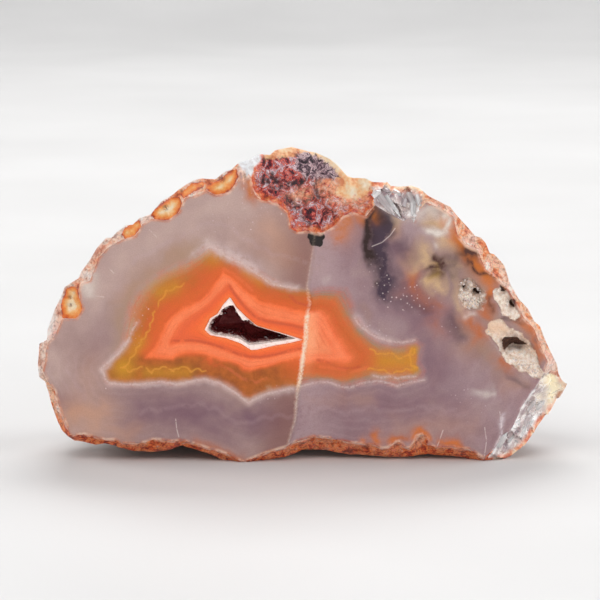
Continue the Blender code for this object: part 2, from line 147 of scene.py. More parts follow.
FACE_EDGE = [
    (4.5, 35.2), (4.8, 34.2), (5.3, 33.8), (5.8, 32.8), (6.2, 31.9), (7.6, 31.9), (8.3, 30.9), (8, 30),
    (7.9, 29), (8.2, 28.3), (9, 28.1), (9.5, 26.8), (9.9, 25.8), (10.8, 24.8), (12.2, 24), (13.6, 23.6),
    (14.3, 22.4), (15.2, 21.9), (16.8, 22.05), (18, 21.2), (18.4, 20.1), (18.6, 19.8), (19.6, 19.6),
    (20.7, 19.1), (21.6, 19.6), (22.9, 19.25), (23.9, 18), (24.1, 17.2), (24.4, 18.1), (24.9, 17.4),
    (25.15, 17.8), (25.25, 18.8), (25.6, 19.6), (26.2, 20.05), (27.8, 20.4), (28.8, 21.4), (29.1, 22.9),
    (29.7, 23.2), (30.9, 23.1), (32, 23.45), (33.4, 22.7), (34.2, 21.7), (35.4, 21.3), (36.6, 21.7),
    (37.5, 20.6), (38.8, 21.4), (40.3, 22.2), (40.9, 21.8), (41.4, 22.2), (41.8, 21.2), (42.6, 20.3),
    (44.1, 20.95), (45.3, 21.7), (45.7, 23.5), (46.7, 24.7), (47.8, 25.1), (48.2, 26.2), (48.6, 27),
    (49.9, 28.1), (50.8, 29), (51.8, 30.5), (52.4, 31.8), (53.5, 33), (54.1, 34.6), (54.9, 36.3),
    (54.5, 37.5), (53.4, 39.2), (52.3, 40.8), (51.6, 42.4), (51.2, 43.1), (50.5, 43.4), (49.7, 44.7),
    (48.5, 45.7), (47.6, 45.2), (47, 44.9), (44.6, 44.9), (43.8, 45), (43, 44.7), (42.8, 44),
    (42.4, 43.65), (41.8, 43.85), (41.5, 44.5), (41, 45.1), (40.5, 44.9), (40, 44.4), (39.4, 44.5),
    (38.9, 45), (38.3, 45.1), (37.5, 44.7), (35.2, 44.5), (33.2, 44.05), (31.4, 43.85), (29.7, 44.35),
    (28.4, 44.9), (26.4, 45.4), (24.9, 45.95), (24.2, 46.2), (22.9, 45.55), (20.6, 44.95), (18.8, 44.35),
    (18.1, 44.15), (17.2, 44.3), (15.2, 44.05), (14.4, 44.4), (12.4, 44.5), (11.4, 44.1), (10.4, 44.15),
    (8.3, 43.55), (6.9, 43.65), (6.3, 42.1), (5.75, 40.6), (5.4, 39.2), (4.7, 38.2), (4.2, 37.1),
    (4.5, 36.1),
]
CRACK = [
    (31.4, 23.6), (31, 26), (30.6, 28.6), (30.9, 30.4), (30.5, 31.8), (30.4, 34), (30.1, 36), (29.8, 38.2),
    (29.5, 40), (29.4, 42), (28.9, 43.8), (28.5, 45),
]
HOLLOW_MOUTH = [
    (20.45, 33), (21, 31.85), (21.7, 31.45), (22.3, 30.5), (23, 29.7), (23.6, 30.7), (24.6, 31.7),
    (25.7, 32.6), (27.2, 33.05), (28.6, 33.45), (30.3, 34), (29.1, 34.3), (27.4, 34.6), (25.7, 35),
    (25.1, 35.05), (24.1, 34.4), (22.6, 33.85), (21, 33.55),
]

# The bands round the hollow, each the outer edge of one colour, from the crack round to the crack.
# The two sides of the crack don't meet, so each has its own lines, which run on past the crack.
LEFT_BANDS = [
    HOLLOW_MOUTH,
    [(33.5, 33.4), (30.3, 32.8), (27.8, 32.3), (26.6, 32.1), (25.8, 31.8), (24.6, 30.8), (23.4, 29.3),
     (22.9, 28.5), (22.2, 29.2), (21, 30.4), (19.8, 31.3), (18.6, 32.1), (17.8, 32.9), (17.3, 33.8),
     (17.1, 34.3), (18, 34.1), (19, 34.05), (20, 34.15), (21, 34.4), (23, 35.1), (24, 35.5), (25, 35.7),
     (26, 35.75), (27, 35.6), (28, 35.4), (30, 34.9), (33.5, 34.4)],
    [(33.5, 31.6), (30.8, 31.3), (28.5, 30.7), (27, 30.4), (26, 30.1), (24.3, 28.8), (23, 27.7),
     (22.3, 27.2), (21.9, 27.7), (21.4, 28.5), (20.8, 29.3), (20, 30), (19, 30.6), (17.8, 31.1), (17, 31.8),
     (16.5, 32.5), (16.1, 33.3), (15.7, 34.2), (15.2, 35), (14.5, 35.8), (17.2, 35.95), (17.8, 35.6),
     (18.5, 35.4), (19.5, 35.35), (20.5, 35.45), (22, 36.1), (23, 36.2), (23.8, 36.5), (24.3, 37),
     (25, 37.1), (25.8, 36.9), (27, 36.65), (28, 36.3), (29.9, 35.8), (33.5, 35.2)],
    [(33.5, 29.4), (30, 29.3), (28, 28.9), (27, 28.5), (26.2, 27.9), (25, 27.2), (23.5, 26.5), (22.3, 26),
     (21.3, 25.5), (20.5, 26.3), (19.5, 27.1), (18.5, 27.6), (17.5, 28), (16.3, 28.6), (15.4, 29.6),
     (14.6, 31), (14, 32.4), (13.6, 33.4), (13.1, 34.4), (12.6, 35.4), (12, 36.2), (11.5, 36.9),
     (11.6, 37.6), (12.2, 38), (13, 38.1), (14, 37.9), (15, 37.7), (17, 37.6), (19, 37.6), (21, 37.6),
     (22, 38.1), (23, 38.8), (24.3, 39.5), (25, 39.3), (25.8, 38.8), (26.5, 38.4), (27.5, 38.4),
     (29.6, 38.4), (33.5, 38.2)],
    [(33.5, 29.1), (30.8, 28.9), (28.2, 28.4), (27.1, 28), (25.6, 27), (24.2, 26.1), (22.4, 25.2),
     (21.4, 24.7), (20.8, 24.6), (19.9, 25.4), (18.6, 26.1), (17, 26.8), (15.5, 27.6), (14.2, 28.6),
     (13.2, 29.9), (12.7, 31.4), (12.5, 33), (12.2, 34.4), (11.4, 35.6), (10, 36.9), (10.3, 37.4),
     (10.5, 38.1), (10.9, 38.4), (12.5, 38.5), (14, 38.5), (16, 38.2), (17.7, 38.5), (19.5, 38.1),
     (20.5, 37.95), (22, 38.4), (23.5, 39.3), (24.8, 40.3), (26.2, 39.6), (28, 39.1), (33.5, 38.6)],
]
RIGHT_BANDS = [
    [(27, 33.9), (30.4, 34), (30.4, 34.2), (27, 34.3)],
    [(27, 33), (30.8, 32.8), (31.6, 33), (32.2, 34.2), (33, 35.4), (31.5, 35.4), (27, 35.5)],
    [(27, 31.6), (30.6, 31.5), (32, 31.3), (32.5, 31.8), (33, 32.8), (33.6, 33.8), (34.3, 34.8), (35, 35.8),
     (34.7, 36.2), (33.5, 36.1), (32, 36), (30.5, 36.2), (27, 36.3)],
    [(27, 30), (31.2, 29.9), (32, 29.7), (33.6, 29.8), (34.1, 30.7), (34.6, 31.7), (35.2, 32.7), (36, 33.7),
     (37, 34.5), (38, 35.2), (39, 35.3), (40, 35.6), (40.7, 35.4), (41.5, 34.9), (41.7, 35.6), (41.6, 36.6),
     (41.8, 37.1), (41, 37.5), (39.8, 37.7), (38.6, 37.6), (37.2, 37.4), (36, 37.8), (34.8, 38.1),
     (34, 38.1), (33, 37.9), (31, 37.7), (27, 37.9)],
    [(27, 29.1), (31, 29), (33, 28.9), (34.6, 29), (35.2, 30.2), (35.6, 31.4), (36.2, 32.6), (37, 33.5),
     (38.2, 34.3), (39.5, 34.6), (40.6, 34.4), (41.6, 34.2), (42.3, 34.7), (42, 35.7), (41.9, 36.5),
     (42.4, 37.2), (42.1, 38), (40.9, 38.35), (39.8, 38.75), (38, 38.25), (36, 38.5), (34.5, 38.9),
     (33, 38.35), (31.2, 38.45), (29.7, 39), (27, 39.2)],
]

YELLOW_LINES = [
    [(18.4, 28.3), (17.2, 28.8), (16.5, 29.1), (15.8, 30.2), (15.3, 31.2), (15, 32.2), (14.7, 33.1),
     (14, 34.1), (13.5, 34.9), (13.1, 35.6), (12.7, 36.2), (12.1, 36.7)],
    [(12, 36.8), (12.6, 37.2), (13.1, 37.4), (13.5, 37), (14, 36.9), (14.6, 37), (15.1, 37.4)],
    [(15.1, 37.4), (15.6, 37.1), (16.1, 36.9), (17, 37), (17.2, 37.4), (17.6, 37), (18.1, 36.85),
     (18.6, 37), (19, 37.3), (19.8, 37.1), (20.5, 37.3)],
    [(37, 35), (37.5, 35.5), (38.2, 35.7), (38.9, 35.5), (39.5, 35.8), (40.2, 36.1), (40.7, 35.9),
     (41, 35.5), (41.4, 35.1)],
    [(41.5, 35), (41, 35.6), (40.9, 36.2), (41.1, 36.7), (41.7, 37.1)],
    [(41.6, 36.9), (40.5, 36.95), (39.8, 37.2), (39, 37.3), (38.6, 37.1), (37.8, 36.9), (36.8, 36.9)],
]
SALMON_LINES = [
    [(36.8, 36.9), (36, 37.1), (35, 37.3), (34, 37), (33, 36.9), (32, 36.8)],
    [(22.4, 26.9), (23.2, 27.3), (24.2, 28.1), (25.2, 29)],
    [(22.2, 36.7), (23, 37), (24.2, 37.9), (25.6, 38.3), (26.6, 37.9)],
]
DARK_LINES = [
    [(22.9, 28.5), (23.4, 29.3), (24, 30.1), (24.6, 30.8), (25.2, 31.4), (25.8, 31.8), (26.6, 32.1),
     (27.8, 32.3), (29, 32.5), (30.3, 32.8)],
    [(17.2, 34.1), (18, 34.1), (19, 34.05), (20, 34.15), (21, 34.4), (22, 34.7), (23, 35.1), (24, 35.5),
     (25, 35.7), (26, 35.75), (27, 35.6), (28, 35.4), (29, 35.1), (30, 34.9)],
    [(29, 29.6), (29.6, 30.2), (30.2, 30.4), (31, 30.6)],
    [(31.8, 36.1), (33, 36.4), (34, 36.9), (35, 37), (36, 36.8)],
]
WHITE_LINES = [
    [(10, 36.9), (10.3, 37.4), (10.5, 38.1), (10.9, 38.4), (12.5, 38.5), (14, 38.5), (16, 38.2),
     (17.7, 38.5), (19.5, 38.1), (20.5, 37.95), (22, 38.4), (23.5, 39.3), (24.8, 40.3), (26.2, 39.6),
     (28, 39.1), (29.3, 38.9)],
    [(10, 36.9), (11.2, 35.9), (11.8, 35.4), (12.4, 34.7), (12.8, 34), (13.1, 33.3), (13.4, 32.7),
     (13.7, 32.2)],
    [(20.6, 24.9), (21, 24.6), (22.1, 25.1), (22.6, 25.6), (23.5, 26.1), (24.2, 26.3), (24.8, 26.8),
     (25.6, 27.3), (26.4, 27.9), (27, 28.4), (28.1, 28.6), (29.7, 28.8)],
    [(29.7, 39), (30.3, 38.7), (31.2, 38.45), (32, 38.35), (33, 38.35), (33.8, 38.7), (34.5, 38.9),
     (35.2, 38.85), (36, 38.5), (37, 38.3), (38, 38.25), (39, 38.5), (39.8, 38.75), (40.5, 38.5),
     (41.2, 38.35), (42.5, 38.1)],
    [(35.5, 31.9), (35.8, 32.4), (36.3, 32.9), (37, 33.4), (37.7, 33.8), (38.8, 34.15), (39.5, 34.3),
     (40.2, 34.35), (40.8, 34.25), (41.5, 34.1)],
    [(37.4, 37.7), (38.2, 37.9), (39, 37.75), (39.9, 38), (40.6, 37.8), (41.6, 37.8)],
]
LILAC_LINES = [
    [(6.5, 37.2), (7.2, 38), (7.8, 39), (8, 40)],
    [(14, 41.5), (15, 41.3), (17.2, 41.2), (18.5, 40.8), (20, 40.8), (21.5, 41.2), (22.8, 42), (23.5, 42.7),
     (25, 42.4), (26.2, 42.1), (27.5, 41.9), (29.2, 41.9)],
    [(29.5, 41.8), (31, 41.5), (32, 41.25), (33, 41.3), (34.8, 41.8), (36.5, 41.2), (37.5, 41.1),
     (39.2, 41.6), (40, 41.55), (41.6, 41.1), (43, 41.2), (45.5, 41.4)],
    [(13.4, 26.3), (15, 25.4), (17, 24.5), (19, 23.4), (21, 22.4), (23, 23.1), (25, 24.4), (27, 25.5),
     (29, 26.1), (30.6, 26.3)],
]
SCRATCHES = [
    [(10.9, 26.8), (11.4, 27.3)], [(9.6, 29.6), (10.4, 29.7)], [(15, 23), (15.7, 23.7)],
    [(17.5, 42), (17.6, 43), (17.8, 43.8)], [(44.4, 43.2), (44, 44.4), (43.8, 44.9)],
    [(48.6, 42.7), (48.8, 44), (48.6, 45.5)], [(53.3, 39.3), (52.8, 40.1), (52.3, 40.8)],
    [(50.1, 41.2), (50.3, 42.5), (50.2, 43.5), (49.8, 44.3), (49.2, 45.2)],
    [(37.2, 24.7), (38.2, 24.3), (39, 23.6), (39.5, 22.9)], [(24.1, 17), (24.4, 18.1), (24.4, 19)],
]
DUST = [
    (25.1, 22.95), (28.15, 21.4), (28.05, 28.55), (14.85, 30.9), (10.5, 38.9), (38.7, 27.6), (38.9, 27.95),
    (37.7, 28.4), (38.45, 28.6), (38.3, 29.4), (39.2, 29.8), (40.1, 30), (40.7, 29.7), (40.75, 30.4),
    (41.7, 28.6), (41.75, 29.9), (42.9, 29.9), (38.8, 30.8), (41.2, 30.8), (40.3, 31.05), (42, 30.7),
]

# Zones of the rough surface, as outlines
MATRIX_PATCH = [
    (25.8, 15.4), (25.7, 16.6), (25.25, 17.2), (25.1, 18), (25.3, 18.8), (25.7, 19.6), (26.2, 20.1),
    (27.8, 20.4), (28.6, 21.2), (28.8, 22.9), (29.5, 23.2), (30.9, 23.1), (32, 23.5), (33.5, 22.7),
    (34.3, 21.7), (35.5, 21.4), (36.5, 21.8), (37.4, 20.6), (37.4, 19.6), (37, 18.8), (37.2, 18.2),
    (35, 17.4), (33, 16.2), (31, 15.3), (29, 14.9), (27, 15.1),
]
PEACH_CAP = [
    (25.8, 15), (26.5, 16.3), (28.5, 16.2), (29.8, 16), (31.5, 16.6), (33.2, 17.4), (34, 18.6),
    (33.5, 19.6), (34.6, 20.2), (36.2, 20.1), (37.2, 19.4), (37.6, 18), (33.5, 15.8), (29.5, 14.8),
]
DARK_CAP = [
    (29.4, 15.7), (31, 15.6), (32.1, 16.2), (33.3, 17), (34.1, 18), (33.3, 18.3), (31.4, 18.4),
    (30.2, 17.9), (29.5, 17),
]
UPPER_CHIP = [
    (37.2, 18.9), (38.5, 18.4), (40, 18.6), (41.5, 18.6), (42.3, 19.3), (42.1, 20.6), (41.6, 21.6),
    (41, 22.4), (40.3, 22.4), (39, 21.8), (38.2, 21.3), (37.4, 20.5),
]
LOWER_CHIP = [
    (54.6, 37.4), (56, 38), (57.4, 39.1), (56.7, 40.7), (55.6, 42.3), (54.1, 43.9), (52.9, 45.3),
    (51.3, 46), (49.8, 46), (48.9, 45.7), (49.7, 44.7), (50.5, 43.4), (51.2, 43.1), (51.6, 42.4),
    (52.3, 40.8), (53.4, 39.2),
]
# Crystals laid bare in the broken places: both ends, radius and how white each is, as a painted glint
CHIP_CRYSTALS = [
    (37.3, 19.9, 38.1, 19.2, 0.36, 0.75), (38.2, 19.2, 39.1, 19.5, 0.3, 0.3),
    (37.9, 19.8, 39.5, 21.7, 0.4, 0.42), (38.6, 19.8, 40.1, 21.9, 0.24, 0.8),
    (39.3, 19.4, 40.2, 19.8, 0.3, 0.6), (40.3, 20.9, 40.6, 19.8, 0.34, 0.25),
    (40.9, 19.7, 41.4, 20.7, 0.34, 0.5), (41.7, 19.7, 41.9, 20.7, 0.24, 0.85),
    (41.3, 20.4, 41.35, 22.3, 0.34, 0.7), (50, 44.9, 50.9, 43.4, 0.32, 0.6),
    (51, 44.6, 51.6, 43.9, 0.28, 0.85), (51.4, 43.2, 52.2, 42.1, 0.36, 0.75),
    (52.2, 44.2, 52.9, 43.1, 0.28, 0.85), (52.7, 42.9, 53.3, 41.7, 0.32, 0.4),
    (53.2, 43.1, 53.7, 42.3, 0.26, 0.9), (52.9, 41.4, 53.9, 40.2, 0.28, 0.5),
    (54, 41.5, 54.8, 40.6, 0.32, 0.7),
]
ORBS = [
    [(6.2, 31.85), (7.5, 31.9), (8, 31.5), (8.25, 30.9), (8.15, 30.2), (7.9, 29.7), (7.8, 29), (7.2, 28.7),
     (6.6, 29), (6.3, 29.8), (6, 30.6)],
    [(12.4, 23), (13.2, 22.5), (14, 22.1), (14.2, 22.7), (13.6, 23.5), (12.6, 23.9), (12.2, 23.6)],
    [(15.1, 21.6), (15.5, 21.95), (16.3, 22.1), (17, 22), (17.7, 21.6), (18.1, 20.9), (18.2, 20.3),
     (18, 19.8), (17.2, 19.9), (16.2, 20.5), (15.4, 21.1)],
    [(20.6, 18.8), (21.2, 19.4), (21.8, 19.5), (22.5, 19.4), (23.1, 19), (23.6, 18.4), (23.85, 17.7),
     (23.7, 17), (23, 17.3), (22.2, 18), (21.4, 18.4)],
    [(18, 19.5), (19.2, 18.5), (20.5, 18.3), (20.4, 18.8), (19.4, 19.3), (18.4, 19.9)],
]
ORB_PITS = [
    (6.9, 29.9, 0.3), (7, 30.7, 0.25), (16.6, 20.9, 0.4), (22.2, 18, 0.55), (20.1, 18.8, 0.22),
    (18.2, 19.25, 0.2), (7.4, 29.3, 0.2),
]
# Cream quartz round the small cavities, which is part of the face but not polished smooth
CREAM_ZONES = [
    [(46, 28.1), (46.6, 27.9), (47.3, 28.1), (47.9, 28.7), (48.4, 29.4), (48.6, 30.2), (48.1, 30.9),
     (47.3, 31.2), (46.5, 31), (46.1, 30.3), (45.9, 29.3)],
    [(49.3, 29.2), (50, 28.7), (50.6, 29), (51.3, 30), (51.7, 31), (52.2, 31.8), (51.7, 32.3), (50.8, 31.8),
     (50.1, 31.6), (49.8, 30.6)],
    [(48.5, 33.3), (49, 32.3), (50, 32), (51.2, 33), (52.2, 33.4), (53.1, 34.3), (53.6, 35.2), (53.9, 36.4),
     (54.3, 37.4), (54.4, 38), (53.8, 38), (53, 37.6), (51.8, 37), (50.8, 36.4), (50.2, 35.6), (49.6, 34.5)],
]
# How soft the edge of each of these zones is
CREAM_SOFTNESS = (1.1, 0.3, 0.35)
# Of these, black and part of dusk are painted dark, a black backdrop seen through the clear stone
# Soft tints inside the clear stone: the line that each follows, its reach and its strength
TINTS = {
    "violet": [
        ([(14, 41.2), (20, 41.6), (25, 42), (29, 41.6)], 2.6, 1.0),
        ([(31, 41), (40, 40.6), (46, 40)], 2.2, 0.6), ([(42.6, 35), (44.5, 37.5)], 2.2, 0.8),
        ([(42.6, 34.4), (42.5, 37.4)], 0.5, 0.8), ([(41.6, 32.3)], 1.6, 0.8),
        ([(6.3, 39.6), (7.2, 41)], 0.9, 0.7), ([(39.6, 24.6), (41.6, 26), (41, 29), (42.6, 31)], 1.9, 1.0),
        ([(44.6, 27), (46.4, 26.8)], 1.2, 0.8), ([(11.4, 28.6), (10.2, 32), (9.6, 35)], 1.2, 0.4),
        ([(33.6, 25), (34.6, 27.4)], 1.2, 0.3), ([(45.2, 31.6), (45.8, 33.4)], 1.0, 0.9),
        ([(47.8, 35.2)], 1.0, 0.9), ([(38.6, 31.2), (41, 31.6)], 1.2, 0.5)],
    "lilac": [
        ([(40.2, 22.8), (42.6, 24)], 1.1, 0.9), ([(46.5, 38), (49.5, 41.5)], 2.2, 0.45),
        ([(32.2, 26), (34.6, 30)], 1.2, 0.5), ([(37.2, 31), (39.5, 32.6)], 1.0, 0.35),
        ([(30.6, 42.5), (34, 42.6)], 0.9, 0.3)],
    "pale": [
        ([(9.8, 30.2), (11.5, 26.5), (14.5, 24.6), (20, 21.4), (24, 19.6)], 2.2, 0.85),
        ([(5.2, 35.4), (5.6, 37.5)], 1.0, 0.7), ([(20.6, 23.5), (21.5, 24.4)], 1.0, 0.5),
        ([(31.6, 24.8), (31.2, 27)], 0.7, 0.4), ([(44.6, 21.5)], 0.9, 0.8), ([(25.6, 45)], 1.0, 0.35)],
    "peach": [
        ([(27, 23.4), (29, 25.6)], 2.0, 0.7), ([(7.2, 41.4), (9.4, 41.8)], 1.7, 1.2),
        ([(9.6, 42.8), (13, 43.4)], 1.0, 0.6), ([(12.6, 29.4), (15.5, 27.4), (19, 25.6)], 0.9, 0.6),
        ([(41.2, 25.2), (40.6, 26.8)], 0.8, 0.5), ([(46.6, 34.6)], 1.6, 0.3),
        ([(40, 42.8), (47, 42.6)], 1.3, 0.4), ([(51, 38.8), (52.6, 38.4)], 0.8, 0.5),
        ([(38.9, 23.0)], 0.8, 0.8), ([(9, 36.5), (8.6, 39)], 1.4, 0.35),
        ([(31, 40), (37, 40.4)], 0.8, 0.35)],
    "rust": [
        ([(41, 27.6), (40.9, 29)], 0.8, 0.85), ([(41.6, 29.5), (43.8, 30.8)], 0.9, 0.55),
        ([(43.6, 32.4)], 1.0, 0.4), ([(46.7, 31.7), (47.5, 33), (47.9, 33.9)], 0.75, 0.9),
        ([(48.5, 31.5), (49.1, 30.6), (49, 29)], 0.6, 0.9),
        ([(52.3, 32.4), (53.4, 33.8), (54, 35.6)], 0.55, 0.8), ([(49.9, 36.2), (50.8, 37.1)], 0.6, 0.8),
        ([(34.2, 22.3), (33.8, 23.6)], 0.8, 1.0), ([(24.9, 18.6), (25.3, 19.6)], 0.5, 0.6),
        ([(37.6, 44)], 0.6, 0.9), ([(39.4, 44), (40.6, 44.2)], 0.5, 0.9),
        ([(42.3, 43.4), (42.4, 44)], 0.6, 0.9), ([(44.6, 44.4), (46, 44.6)], 0.45, 0.8),
        ([(20, 44.4), (22, 45), (24.4, 45.6)], 0.5, 0.6), ([(32.6, 21.8)], 0.7, 0.5),
        ([(48, 25.8)], 0.6, 0.8)],
    "orange": [
        ([(47.2, 26.2), (48.3, 27.3), (49.2, 27.9)], 0.5, 1.0),
        ([(45.7, 23.2), (46.2, 24.4), (47.6, 25.3)], 0.35, 1.0), ([(48.4, 28.3), (48.9, 29)], 0.4, 0.8),
        ([(37.2, 21.3)], 0.6, 0.9), ([(52.0, 32.6), (53.2, 32.9)], 0.3, 0.6), ([(38, 44.5)], 0.5, 1.0),
        ([(41.6, 44.3), (42.3, 43.5), (43.1, 44.2)], 0.4, 0.9), ([(44.6, 44.2), (45.9, 44.5)], 0.4, 0.9),
        ([(39.5, 44.4)], 0.4, 0.8), ([(36.2, 44.4)], 0.45, 0.7), ([(34.2, 22.2)], 0.5, 0.8)],
    "tan": [
        ([(42.3, 25.2), (42.3, 26.4)], 0.8, 1.0), ([(42.8, 28.3), (44, 28.9)], 0.65, 0.9),
        ([(44.4, 24), (46, 25)], 0.9, 0.8), ([(41.6, 25.8), (41.2, 26.8)], 0.8, 0.6),
        ([(43.2, 22.2), (44.6, 22.2)], 0.8, 0.9), ([(38.8, 22.6), (39.4, 21.8)], 0.6, 0.7),
        ([(45.2, 27.4), (45.6, 29), (46, 30.7)], 0.5, 0.6), ([(44.8, 26.6), (45.6, 27.2)], 0.5, 0.6)],
    "olive": [
        ([(43.4, 26.6), (43.6, 27.8)], 0.6, 0.9), ([(43.1, 22.4)], 0.35, 0.4)],
    # Dark violet; its first two stretches are painted dark, a black backdrop seen through the clear stone
    "dusk": [
        ([(38.0, 22.0), (37.9, 23.8)], 1.0, 1.2),
        ([(37.8, 24.2), (37.9, 26), (38.3, 27.8), (38.7, 29)], 1.15, 1.0),
        ([(39.8, 30.2), (42.4, 30.6)], 0.9, 0.4), ([(39.6, 24.4), (40.6, 25)], 1.2, 0.4),
        ([(45, 26), (45.2, 28)], 0.8, 0.5), ([(45.4, 32), (46, 33.6)], 0.7, 0.4),
        ([(51.2, 38), (52.6, 38.6)], 0.5, 0.4), ([(46.2, 26.2)], 0.6, 0.7), ([(50.5, 29.3)], 0.4, 0.6)],
    "umber": [
        ([(43.2, 25.8), (43.8, 26.3)], 0.45, 1.0), ([(43.7, 26.7), (44.2, 27.2)], 0.5, 0.9),
        ([(42.6, 27.1), (43.5, 27.1), (44.3, 26.7)], 0.4, 0.9), ([(46.6, 26.4), (47.1, 26.9)], 0.4, 0.8),
        ([(43.0, 27.6), (44.1, 28)], 0.25, 0.6), ([(46.0, 25.4), (47.6, 25.7)], 0.65, 1.0),
        ([(46.9, 26.6), (48, 27.6), (49.2, 28)], 0.22, 0.95), ([(42.6, 20.7), (45, 21.5)], 0.3, 0.5),
        ([(53.6, 32.9), (54, 34)], 0.25, 0.6), ([(49.2, 29.5), (49.3, 30.8)], 0.25, 0.6),
        ([(50.2, 31.9), (51.8, 32.5)], 0.2, 0.6)],
    # Painted dark: a black backdrop seen through the clear stone
    "black": [
        ([(37.2, 21.4), (36.8, 23.2), (36.6, 24.8), (37.0, 26.4)], 0.62, 1.0), ([(37.5, 28.2)], 0.4, 0.5),
        ([(38.2, 21.4), (37.9, 22.3)], 0.5, 0.6)],
    "halo": [
        ([(11.9, 35), (12, 32.6), (12.6, 30), (14, 28), (17, 26), (20, 24.6)], 0.9, 1.0),
        ([(22.6, 39.4), (24.6, 40.6)], 0.7, 0.3), ([(36, 31), (36.8, 32.4)], 0.6, 0.3),
        ([(45.4, 25.4), (47.8, 28.2), (49.0, 31.4)], 1.5, 0.85),
        ([(46.6, 32.6), (48.0, 34.6), (50.2, 37.0)], 1.2, 0.8), ([(51.6, 32.0), (54.0, 35.6)], 0.9, 0.8)],
    "milk": [
        ([(39.4, 20.7), (41.6, 21.3), (43.2, 21.2)], 0.9, 0.55),
        ([(43, 23.3), (44.2, 23.2), (45, 22.2)], 0.45, 1.0), ([(44.6, 21.7)], 0.7, 0.9),
        ([(43.6, 24.6)], 0.35, 0.5), ([(48, 39.4), (49.3, 39.2)], 0.35, 0.5),
        ([(46.6, 31.4), (47.6, 31.6)], 0.35, 0.5), ([(32.3, 27.8)], 0.4, 0.4),
        ([(8.6, 27.6), (9, 29)], 0.6, 0.7)],
    "sparkle": [
        ([(37.6, 27.8), (39.4, 29.6), (42.6, 30.2)], 1.1, 1.0), ([(44.8, 32.6), (46, 33.6)], 0.7, 0.8),
        ([(12.9, 33.8), (14, 31)], 0.7, 0.6), ([(22, 22.6), (25, 21)], 2.0, 0.5),
        ([(46.5, 40), (48, 41)], 1.2, 0.6), ([(36, 32), (39, 34)], 0.6, 0.6),
        ([(24.8, 39.8), (28, 39)], 0.7, 0.5)],
    # Inside the dark patch: its paler and its blacker parts
    "blush": [
        ([(29.7, 19.6), (30.6, 19.9)], 0.6, 1.0), ([(32.8, 18.9), (34.4, 19.9), (36.4, 19.8)], 1.2, 1.2)],
    "soot": [
        ([(26.6, 18.1), (28.4, 18.4), (30.1, 18.2)], 0.5, 1.0), ([(29.0, 19.9), (30.1, 21.1)], 0.6, 1.0),
        ([(31.6, 19.1), (32.0, 20.6)], 0.5, 0.9), ([(30.5, 21.9), (31.0, 22.8)], 0.45, 0.8),
        ([(32.8, 21.4), (33.3, 22.5)], 0.4, 0.7)],
}
# Tints with crisper outlines
CRISP_TINTS = {
    "snow": [
        ([(24.5, 16.5), (25.5, 16.2)], 0.55, 1.3), ([(24.95, 17.3)], 0.4, 1.1)],
    "ink": [
        ([(31.2, 23.6), (32.2, 23.7)], 0.34, 1.3), ([(31.3, 24.2), (31.8, 24.3)], 0.36, 1.3)],
    "amber": [
        ([(34.4, 22.1), (33.9, 23.3)], 0.95, 1.7), ([(35.6, 21.7), (36.4, 22.2)], 0.5, 1.0),
        ([(44.6, 22.2), (45.5, 23.9), (47.1, 26.0), (48.8, 27.8)], 0.65, 1.2),
        ([(37.2, 21.2), (37.5, 21.8)], 0.5, 1.4), ([(25.0, 18.3), (25.1, 19.5)], 0.35, 1.2)],
    "frost": [
        ([(20.7, 24.4), (22.4, 25.2), (24.2, 26.1), (25.6, 27.0)], 0.55, 1.0),
        ([(20.7, 24.5), (19.4, 25.4)], 0.4, 0.6), ([(25.6, 27.1), (27.4, 28.3), (29.7, 28.8)], 0.35, 0.6),
        ([(10.1, 37.3), (11.4, 35.7), (12.7, 34.3)], 0.3, 0.7),
        ([(11, 38.5), (17.7, 38.5), (20.5, 38), (22, 38.4), (23.5, 39.3), (24.8, 40.3)], 0.3, 0.6),
        ([(24.8, 40.3), (26.2, 39.6), (29.2, 39)], 0.3, 0.6),
        ([(35.6, 31.6), (37, 33.3), (39, 34.3)], 0.4, 0.5)],
    "apricot": [
        ([(49.2, 32.8), (50.4, 33.1)], 0.8, 1.0), ([(52.6, 33.8), (53.6, 35.4)], 0.45, 0.7)],
    "honey": [
        ([(55.3, 38.2), (55.7, 39.4), (55.5, 40.6)], 0.8, 1.2), ([(56.3, 39.3)], 1.1, 1.0),
        ([(55.5, 38.2)], 0.8, 0.5), ([(54.2, 40.2)], 0.5, 0.5)],
    "glint": [
        ([(49.4, 45.4), (50.2, 43.9), (50.4, 41.5)], 0.16, 1.0), ([(53.4, 39.2), (52.4, 40.9)], 0.14, 1.0),
        ([(51.4, 43.0), (52.0, 41.8)], 0.2, 0.9), ([(53.4, 43.1), (53.7, 42.5)], 0.25, 1.0),
        ([(52.3, 44.1), (52.8, 43.4)], 0.22, 0.9), ([(51.1, 44.7), (51.4, 44.1)], 0.2, 0.9),
        ([(54.3, 41.4), (54.8, 40.7)], 0.25, 0.8)],
}
# Left edge of the painted dark where a black backdrop shows through the clear stone
BACKDROP_DARK_EDGE = [
    (37.4, 20.8), (36.6, 21.7), (36.3, 23.5), (36, 24.8), (36.4, 26.2), (36.8, 27.3), (37.4, 28.3),
    (38, 29.3), (39, 30.5),
]
YELLOW_TIPS = [
    ([(12.3, 36.8)], 1.3, 1), ([(13.1, 35.6), (14, 34.2)], 0.8, 0.6),
    ([(16, 29.2), (17.4, 28.7)], 0.8, 0.6), ([(21.4, 25.8)], 0.9, 0.5),
    ([(38.4, 36.2), (41, 36.2)], 1.1, 0.75), ([(41.4, 35.2)], 0.6, 0.9), ([(41.5, 36.9)], 0.6, 0.9),
    ([(14.6, 37.3), (18.6, 37.3)], 0.7, 0.6), ([(24.6, 27.2), (26, 28.2)], 0.5, 0.4),
]
